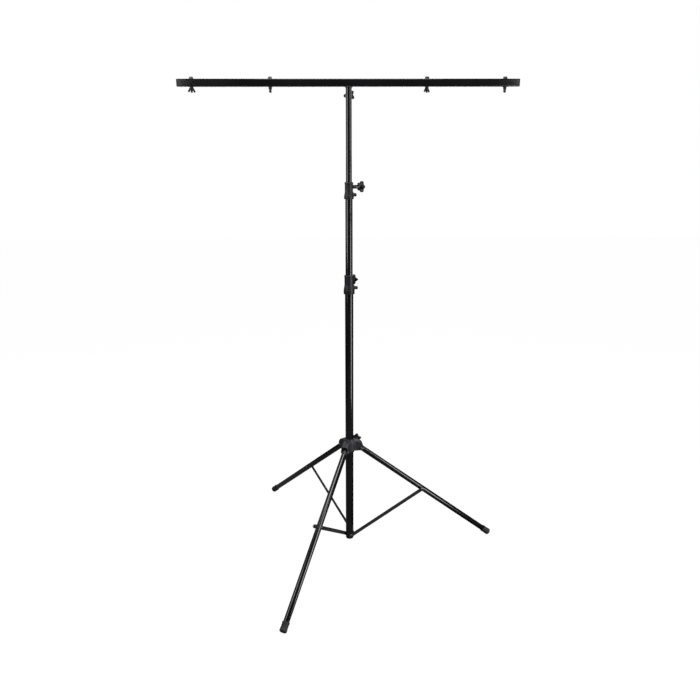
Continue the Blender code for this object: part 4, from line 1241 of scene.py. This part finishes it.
pattern = wing_nut_pattern()
for i, place in enumerate(bolt_places, start=1):
    node = f"wing_nut_{i}"
    top = Vector((place.x, place.y, span(node)[1]))
    nut = pattern.copy()
    nut.data = pattern.data.copy()
    bpy.context.scene.collection.objects.link(nut)
    nut.data.transform(along(top, -UP, ears_direction(node, place)))
    dressed(nut, f"wing_nut_forged_{i}", BOLT_ZINC, node, "blackened_steel", node)
bpy.data.objects.remove(pattern, do_unlink=True)

# %% [markdown]
# ## The hub
# The hub slides on the lower tube and carries the legs under three hoods. It is one moulding, so it is made
# as one: sleeve, hoods and boss are fused, the pockets, panels and holes are carved out, and a fine remesh
# with a little smoothing gives every corner the radius that a mould would.

# %% The hub's shape
HOOD_WALL = 0.003
HOOD_SIDE = 0.0114
HOOD_HALF = HOOD_SIDE + HOOD_WALL
HOOD_ROOF = [(0.054, 0.0150), (0.051, 0.0220), (0.046, 0.0270), (0.038, 0.0310), (0.028, 0.0335)]
HOOD_TOP = 0.0345
HOOD_END = 0.054
HOOD_POCKET = 0.026
HOOD_BELOW = 0.009
HOOD_SHOULDER = 0.0045
HOOD_RIM = 0.0036
PANEL_DEPTH = 0.0014
HUB_SLEEVE_WALL = 0.0040
HUB_BODY_OUT = 0.0045
HUB_BODY_TOP = 0.029
HUB_BOSS_R = 0.009
HUB_BUSH_WALL = 0.0007
HUB_CELL = 0.00075
PIN_R = 0.0029
PIVOT_DRILL = 0.03
CLAMP_DRILL = 0.06

hub_pivot = Vector(joints["leg_right_fold"]["pos_m"])
HUB = Matrix.Translation((MAST.translation.x, MAST.translation.y, hub_pivot.z))
hub_below, hub_above = reach("hub", HUB)


def hood_side(name):
    """A matrix on the mast at a leg. X runs out to the leg, Y runs up and Z along the pivot."""
    outward = leg_outward(name)
    return along(HUB.translation, outward.cross(UP), outward)


def hood(name):
    """A hood with rounded shoulders: its side outline, drawn in towards its cheeks."""
    outline = [(LOWER_R, -HOOD_BELOW), (HOOD_END - 0.006, -HOOD_BELOW),
               (HOOD_END - 0.0018, -HOOD_BELOW + 0.0018), (HOOD_END, -HOOD_BELOW + 0.006)]
    outline += HOOD_ROOF + [(LOWER_R, HOOD_TOP)]
    half = [(HOOD_HALF - HOOD_SHOULDER * up, HOOD_SHOULDER * out) for out, up in quarter(6)]
    layers = half + [(-height, inset) for height, inset in reversed(half)]
    rings = [[(x, y if y < 0 else y - inset, height) for x, y in outline] for height, inset in layers]
    skin = end_filled(loft("hood", rings))
    skin.data.transform(hood_side(name))
    return skin


def hood_pocket(name):
    """The room for the leg under a hood, open below and outside."""
    roof = [(x, y - HOOD_WALL) for x, y in HOOD_ROOF[1:-1]]
    outline = [(HOOD_POCKET, -0.03), (HOOD_END + 0.02, -0.03), (HOOD_END + 0.02, HOOD_ROOF[0][1] - HOOD_WALL)]
    outline += roof + [(HOOD_POCKET, HOOD_ROOF[-1][1] - HOOD_WALL - 0.001)]
    return extruded("pocket", outline, -HOOD_SIDE, HOOD_SIDE, 0.0, hood_side(name))


def cheek_panel(name, side):
    """An arched recess in a hood's cheek, which leaves a rim round it."""
    sill = HOOD_RIM - HOOD_BELOW
    jamb = HOOD_END - HOOD_RIM
    arch = [(0.0225, sill), (jamb - 0.003, sill), (jamb, sill + 0.003), (jamb, 0.0140), (0.0475, 0.0195),
            (0.0435, 0.0235), (0.0365, 0.0270), (0.0290, 0.0288), (0.0245, 0.0280), (0.0225, 0.0255)]
    low, high = HOOD_HALF - PANEL_DEPTH, HOOD_HALF + 0.004
    if side < 0:
        low, high = -high, -low
    return extruded("panel", arch, low, high, 0.0, hood_side(name))


def hub_moulding():
    sleeve_r = LOWER_R + HUB_SLEEVE_WALL
    thick_r = sleeve_r + HUB_BODY_OUT
    body = turned("hub", [
        (0, hub_below), (sleeve_r, hub_below, 0.002), (sleeve_r, -HOOD_BELOW - 0.003, 0.002),
        (thick_r, -HOOD_BELOW + 0.002, 0.002), (thick_r, HUB_BODY_TOP, 0.003),
        (sleeve_r, HUB_BODY_TOP + HUB_BODY_OUT, 0.003), (sleeve_r, hub_above, 0.0018),
        (0, hub_above)], HUB, 96)
    clamp = joint_frame("hub_knob_turn")
    boss_end = reach("hub", clamp, HUB_BOSS_R)[1]
    clamp_boss = turned("boss", [(0, LOWER_R), (HUB_BOSS_R + 0.0010, LOWER_R), (HUB_BOSS_R, boss_end, 0.0012),
                                 (0, boss_end)], clamp, 64)
    fused(body, *[hood(name) for name in LEG_NAMES], clamp_boss)
    cutters = [hood_pocket(name) for name in LEG_NAMES]
    cutters += [cheek_panel(name, side) for name in LEG_NAMES for side in (-1, 1)]
    carved(body, *cutters)
    softened(body, HUB_CELL, 4)
    bore = LOWER_R + GAP + HUB_BUSH_WALL + GAP
    holes = [rod(bore, hub_below - DRILL_PAST, hub_above + DRILL_PAST, HUB, 96),
             rod(STUD_BORE, 0, CLAMP_DRILL, clamp)]
    for name in LEG_NAMES:
        pivot = joint_frame(f"leg_{name}_fold")
        holes.append(rod(PIN_R + GAP, -PIVOT_DRILL, PIVOT_DRILL, pivot))
    return carved(body, *holes)


# The hub wears the paler copy of the plastic, painted lighter for the light from above.
dressed(hub_moulding(), "hub_moulding", HUB_PLASTIC_PAINTED_LIGHTER, "hub", "dark_plastic", "hub")

# %% [markdown]
# ## Screws and nuts
# The pivots of the stand are button-head screws with a hexagon socket, and lock nuts with a plastic ring.
# Both are turned shapes with one hexagon, so two small functions serve all of them.

# %% Screw heads and lock nuts
PIN_WASHER = 0.0007


def button_head(matrix, radius, height, low=0.0):
    """A domed head on a matrix's Z with a hexagon socket in it."""
    dome = turned("dome", [
        (0, low), (radius, low), (radius, low + height * 0.30, height * 0.15),
        (radius * 0.80, low + height * 0.78, height * 0.5), (radius * 0.45, low + height, 0.0005),
        (0, low + height)], sides=64)
    socket = hexagon("socket", radius * 0.72, low + height * 0.35, low + height + DRILL_PAST, sides=36)
    carved(dome, socket)
    dome.data.transform(matrix)
    return dome


def lock_nut(matrix, corner_r, height, low=0.0):
    """A hexagon nut with a round collar for its locking ring, and the screw's end in it."""
    flats = corner_r * math.sqrt(3)
    nut = hexagon("nut", flats, low, low + height * 0.68, both=True)
    collar_ring = turned("collar", [
        (0, low + height * 0.6), (flats * 0.46, low + height * 0.6),
        (flats * 0.44, low + height * 0.9, 0.0005), (flats * 0.30, low + height, 0.0004),
        (flats * 0.27, low + height * 0.85), (0, low + height * 0.85)], sides=48)
    made = joined("nut", nut, collar_ring)
    made.data.transform(matrix)
    return made


def washer_at(matrix, radius, low):
    """A thin washer on a pivot pin."""
    return grown("washer", TUBE, matrix @ Matrix.Translation((0, 0, low)), outer_radius=radius,
                 wall=radius - PIN_R, length=PIN_WASHER, edge=PIN_WASHER * 0.25, sides=48, finish=ZINC)


# %% [markdown]
# ## The legs
# A leg is a tube with a moulded top on the pivot and a rubber foot. The top's round end lets it turn close
# under the hood. Its pieces are made in the leg's own frame, with Z down the leg, and land in place at once.

# %% Leg tubes, tops and pivot screws
LEG_R = 0.011
HEAD_R = 0.0062
across_leg = Matrix.Rotation(math.pi / 2, 4, "Y")


def leg_tube(name):
    node = f"leg_tube_{name}"
    place = leg_frame(name)
    low, high = reach(node, place)
    joint_pin = leg_joint(name)
    piece = grown(node, TUBE, place @ Matrix.Translation((0, 0, low)), outer_radius=LEG_R, wall=TUBE_WALL,
                  length=high - low, sides=128, finish=LEG_COAT)
    carved(piece, rod(PIN_R + GAP, -PIVOT_DRILL, PIVOT_DRILL, joint_pin))
    dressed(piece, f"leg_tube_coated_{name}", LEG_COAT, f"leg_{name}", "black_paint", node)


def leg_joint(name):
    """A matrix on the strut's joint, with Z along the joint, out to the strut's side."""
    place = leg_frame(name)
    box_low, box_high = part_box(f"leg_joint_pin_{name}")
    middle = (box_low + box_high) / 2
    down = (place.inverted() @ middle).z
    across = -Vector(joints[f"leg_{name}_fold"]["axis"])
    return along(place @ Vector((0, 0, down)), across, place.col[2].to_3d())


def leg_top(name):
    node = f"leg_top_{name}"
    place = leg_frame(name)
    seat = reach(f"leg_tube_{name}", place)[0] - GAP
    end = reach(node, place)[1]
    spigot_r = LEG_R - TUBE_WALL - GAP
    turns = [math.radians(9 * i) for i in range(11)]
    dome = [(LEG_R * math.sin(turn), -LEG_R * math.cos(turn)) for turn in turns]
    groove_r = LEG_R - 0.0005
    piece = turned(node, dome + [
        (LEG_R, seat - 0.0034), (groove_r, seat - 0.0030), (groove_r, seat - 0.0024), (LEG_R, seat - 0.0020),
        (LEG_R, seat, 0.0004), (spigot_r, seat), (spigot_r, end, 0.0008), (0, end)], sides=72)
    carved(piece, rod(PIN_R + GAP, -PIVOT_DRILL, PIVOT_DRILL, across_leg))
    piece.data.transform(place)
    dressed(piece, f"leg_top_moulding_{name}", MOULDED, f"leg_{name}", "dark_plastic", node)


def leg_pivot(name):
    """The screw and lock nut through a hood, head on one cheek and nut on the other."""
    node = f"leg_pivot_pin_{name}"
    pivot = joint_frame(f"leg_{name}_fold")
    low, high = reach(node, pivot)
    seat = HOOD_HALF + GAP
    shank = rod(PIN_R, -seat, seat, pivot)
    head = button_head(pivot, HEAD_R, high - seat, seat)
    other_side = pivot @ Matrix.Rotation(math.pi, 4, "X")
    nut = lock_nut(other_side, HEAD_R, -low - seat, seat)
    dressed(joined(node, shank, head, nut), f"leg_pivot_screw_{name}", ZINC, "hub", "blackened_steel", node)


for leg in LEG_NAMES:
    leg_tube(leg)
    leg_top(leg)
    leg_pivot(leg)

# %% [markdown]
# ## The feet
# Each foot is a rubber cap pushed over the tube. It has a thick lip, shallow grooves so that it grips, and
# a ring pattern under the sole. It is worn flat where it stands, so the floor is carved off it.

# %% Rubber feet
FOOT_LIP_R = 0.0137
FOOT_WALL_R = 0.0129
FOOT_GROOVE_R = 0.0123
FOOT_SOLE_R = 0.0136
SOLE_THICK = 0.008
SOLE_RINGS = (0.0066, 0.0034)
SOLE_RING_DEEP = 0.0007


def foot(name):
    node = f"foot_{name}"
    place = leg_frame(name)
    top, end = reach(node, place)
    inside = LEG_R + GAP
    corners = [(0, end - SOLE_THICK), (inside, end - SOLE_THICK), (inside, top, 0.0005),
               (FOOT_LIP_R, top, 0.0012), (FOOT_LIP_R, top + 0.0040, 0.0010),
               (FOOT_WALL_R, top + 0.0052, 0.0006)]
    for groove in range(3):
        at = top + 0.0090 + groove * 0.0040
        corners += [(FOOT_WALL_R, at, 0.0004), (FOOT_GROOVE_R, at + 0.0006, 0.0003),
                    (FOOT_GROOVE_R, at + 0.0012, 0.0003), (FOOT_WALL_R, at + 0.0018, 0.0004)]
    corners += [(FOOT_WALL_R + 0.0003, end - 0.0115, 0.0010), (FOOT_SOLE_R, end - 0.0095, 0.0015),
                (FOOT_SOLE_R, end, 0.0058)]
    for ring in SOLE_RINGS:
        corners += [(ring + 0.0007, end), (ring + 0.0005, end - SOLE_RING_DEEP),
                    (ring - 0.0005, end - SOLE_RING_DEEP), (ring - 0.0007, end)]
    corners.append((0, end))
    piece = turned(node, corners, place, 72, 5)
    ground = extruded("ground", [(-1, -1), (1, -1), (1, 1), (-1, 1)], -0.1, 0.0)
    carved(piece, ground)
    dressed(piece, f"foot_rubber_{name}", RUBBER, f"leg_{name}", "rubber", node, sharp=50)


for leg in LEG_NAMES:
    foot(leg)

# %% [markdown]
# ## The struts
# A strut is a flat steel strip with round ends that holds its leg at an angle. A shouldered pin keeps it
# clear of the leg, and a lock nut holds it there. At the foot of the mast it turns on a screw.

# %% Struts and their joints
STRUT_HALF = 0.0075
STRUT_OVERHANG = 0.0025
SPACER_R = 0.0065
NUT_R = 0.0068


def strut_frame(name):
    """A matrix on a strut's lower pivot. X runs up the strut and Z along the pivot."""
    pivot = Vector(joints[f"strut_{name}_fold"]["pos_m"])
    axis = Vector(joints[f"strut_{name}_fold"]["axis"])
    return along(pivot, axis, leg_joint(name).translation - pivot)


def strut(name):
    node = f"strut_{name}"
    place = strut_frame(name)
    low, high = reach(node, place)
    length = (leg_joint(name).translation - place.translation).length
    outline = capsule((-STRUT_OVERHANG, 0), STRUT_HALF, (length + STRUT_OVERHANG, 0), STRUT_HALF - 1e-6, 16)
    strip = extruded(node, outline, low, high, 0.0005)
    carved(strip, *[rod(PIN_R + GAP, 0, 0.05, Matrix.Translation((x, 0, 0))) for x in (0, length)])
    strip.data.transform(place)
    dressed(strip, f"strut_strip_{name}", LEG_COAT, f"strut_{name}", "black_paint", node)
    end = place @ Matrix.Translation((length, 0, 0))
    nut_high = reach(f"strut_nut_{name}", place)[1]
    stub = rod(PIN_R, low, high + 0.0036, end)
    washer = washer_at(end, NUT_R + 0.0005, high + 0.0001)
    nut = lock_nut(end, NUT_R, nut_high - high - 0.0008, high + 0.0008)
    dressed(joined("nut", stub, washer, nut), f"strut_lock_nut_{name}", ZINC, f"strut_{name}",
            "blackened_steel", f"strut_nut_{name}")
    return low


def joint_pin(name, strut_low):
    """The pin that rides on the leg: head, shank and the sleeve that keeps the strut clear."""
    node = f"leg_joint_pin_{name}"
    place = leg_joint(name)
    head_end = -reach(node, place)[0]
    near = LEG_R + GAP
    neck_r = SPACER_R - 0.0008
    sleeve = turned("sleeve", [
        (0, near), (SPACER_R, near, 0.0004), (SPACER_R, near + 0.0012, 0.0003),
        (neck_r, near + 0.0018, 0.0003), (neck_r, strut_low - GAP, 0.0004),
        (0, strut_low - GAP)], place, 48)
    shank = rod(PIN_R, -near, near, place)
    head = button_head(place @ Matrix.Rotation(math.pi, 4, "X"), HEAD_R, head_end - near, near)
    dressed(joined("pin", sleeve, shank, head), f"leg_joint_screw_{name}", ZINC, f"leg_{name}",
            "blackened_steel", node)


for leg in LEG_NAMES:
    joint_pin(leg, strut(leg))

# %% [markdown]
# ## The base fitting
# The plug in the foot of the mast is one more moulding: a collar as wide as the tube, a long plug inside
# it, and three short bosses that stand side by side with the tube so that the folded struts pass it.

# %% The base and its screws
base_low, base_high = span("base_fitting")
tube_low = span("lower_tube")[0]
FITTING_BOSS_R = 0.008
FITTING_BOSS_TALL = 0.008
BASE_CELL = 0.0006


def base_moulding():
    plug_r = LOWER_R - TUBE_WALL - GAP
    shoulder = tube_low - GAP
    groove = base_low + 0.0012
    body = turned("base", [
        (0, base_low), (LOWER_R * 0.55, base_low, 0.0006), (LOWER_R * 0.60, groove, 0.0006),
        (LOWER_R * 0.72, groove, 0.0006), (LOWER_R * 0.76, base_low, 0.0006), (LOWER_R, base_low, 0.0022),
        (LOWER_R, shoulder, 0.0005), (plug_r, shoulder), (plug_r, base_high, 0.001),
        (0, base_high)], MAST, 72)
    bosses, holes = [], []
    for name in LEG_NAMES:
        pivot = joint_frame(f"strut_{name}_fold")
        face = reach(f"strut_{name}", strut_frame(name))[0] - GAP
        root = face - FITTING_BOSS_TALL
        bosses.append(turned("boss", [
            (0, root), (FITTING_BOSS_R, root), (FITTING_BOSS_R, face, 0.0009), (0, face)], pivot, 64))
        holes.append(rod(PIN_R + GAP, root - 0.0015, face + DRILL_PAST, pivot))
    fused(body, *bosses)
    softened(body, BASE_CELL, 3)
    return carved(body, *holes)


def base_screw(name):
    node = f"base_pivot_screw_{name}"
    pivot = joint_frame(f"strut_{name}_fold")
    low, high = reach(node, pivot)
    strut_high = reach(f"strut_{name}", strut_frame(name))[1]
    shank = rod(PIN_R, low, strut_high + 0.001, pivot)
    washer = washer_at(pivot, HEAD_R + 0.0009, strut_high + 0.0001)
    head = button_head(pivot, HEAD_R, high - strut_high - 0.0008, strut_high + 0.0008)
    dressed(joined(node, shank, washer, head), f"base_screw_{name}", ZINC, "mast", "blackened_steel", node)


dressed(base_moulding(), "base_moulding", MOULDED, "mast", "dark_plastic", "base_fitting")
for leg in LEG_NAMES:
    base_screw(leg)

# %% [markdown]
# ## Hidden pieces
# The bushes inside the collars and the hub, and the guide plugs on the sliding tubes, keep their engineering
# shapes, because nobody sees them. They only get the moulded finish.

# %% Paint what stays
for node in ("lower_collar_bush", "upper_collar_bush", "hub_bush", "mid_tube_plug", "upper_tube_plug"):
    piece = frame["nodes"][node]
    piece.data.materials.clear()
    piece.data.materials.append(MOULDED)
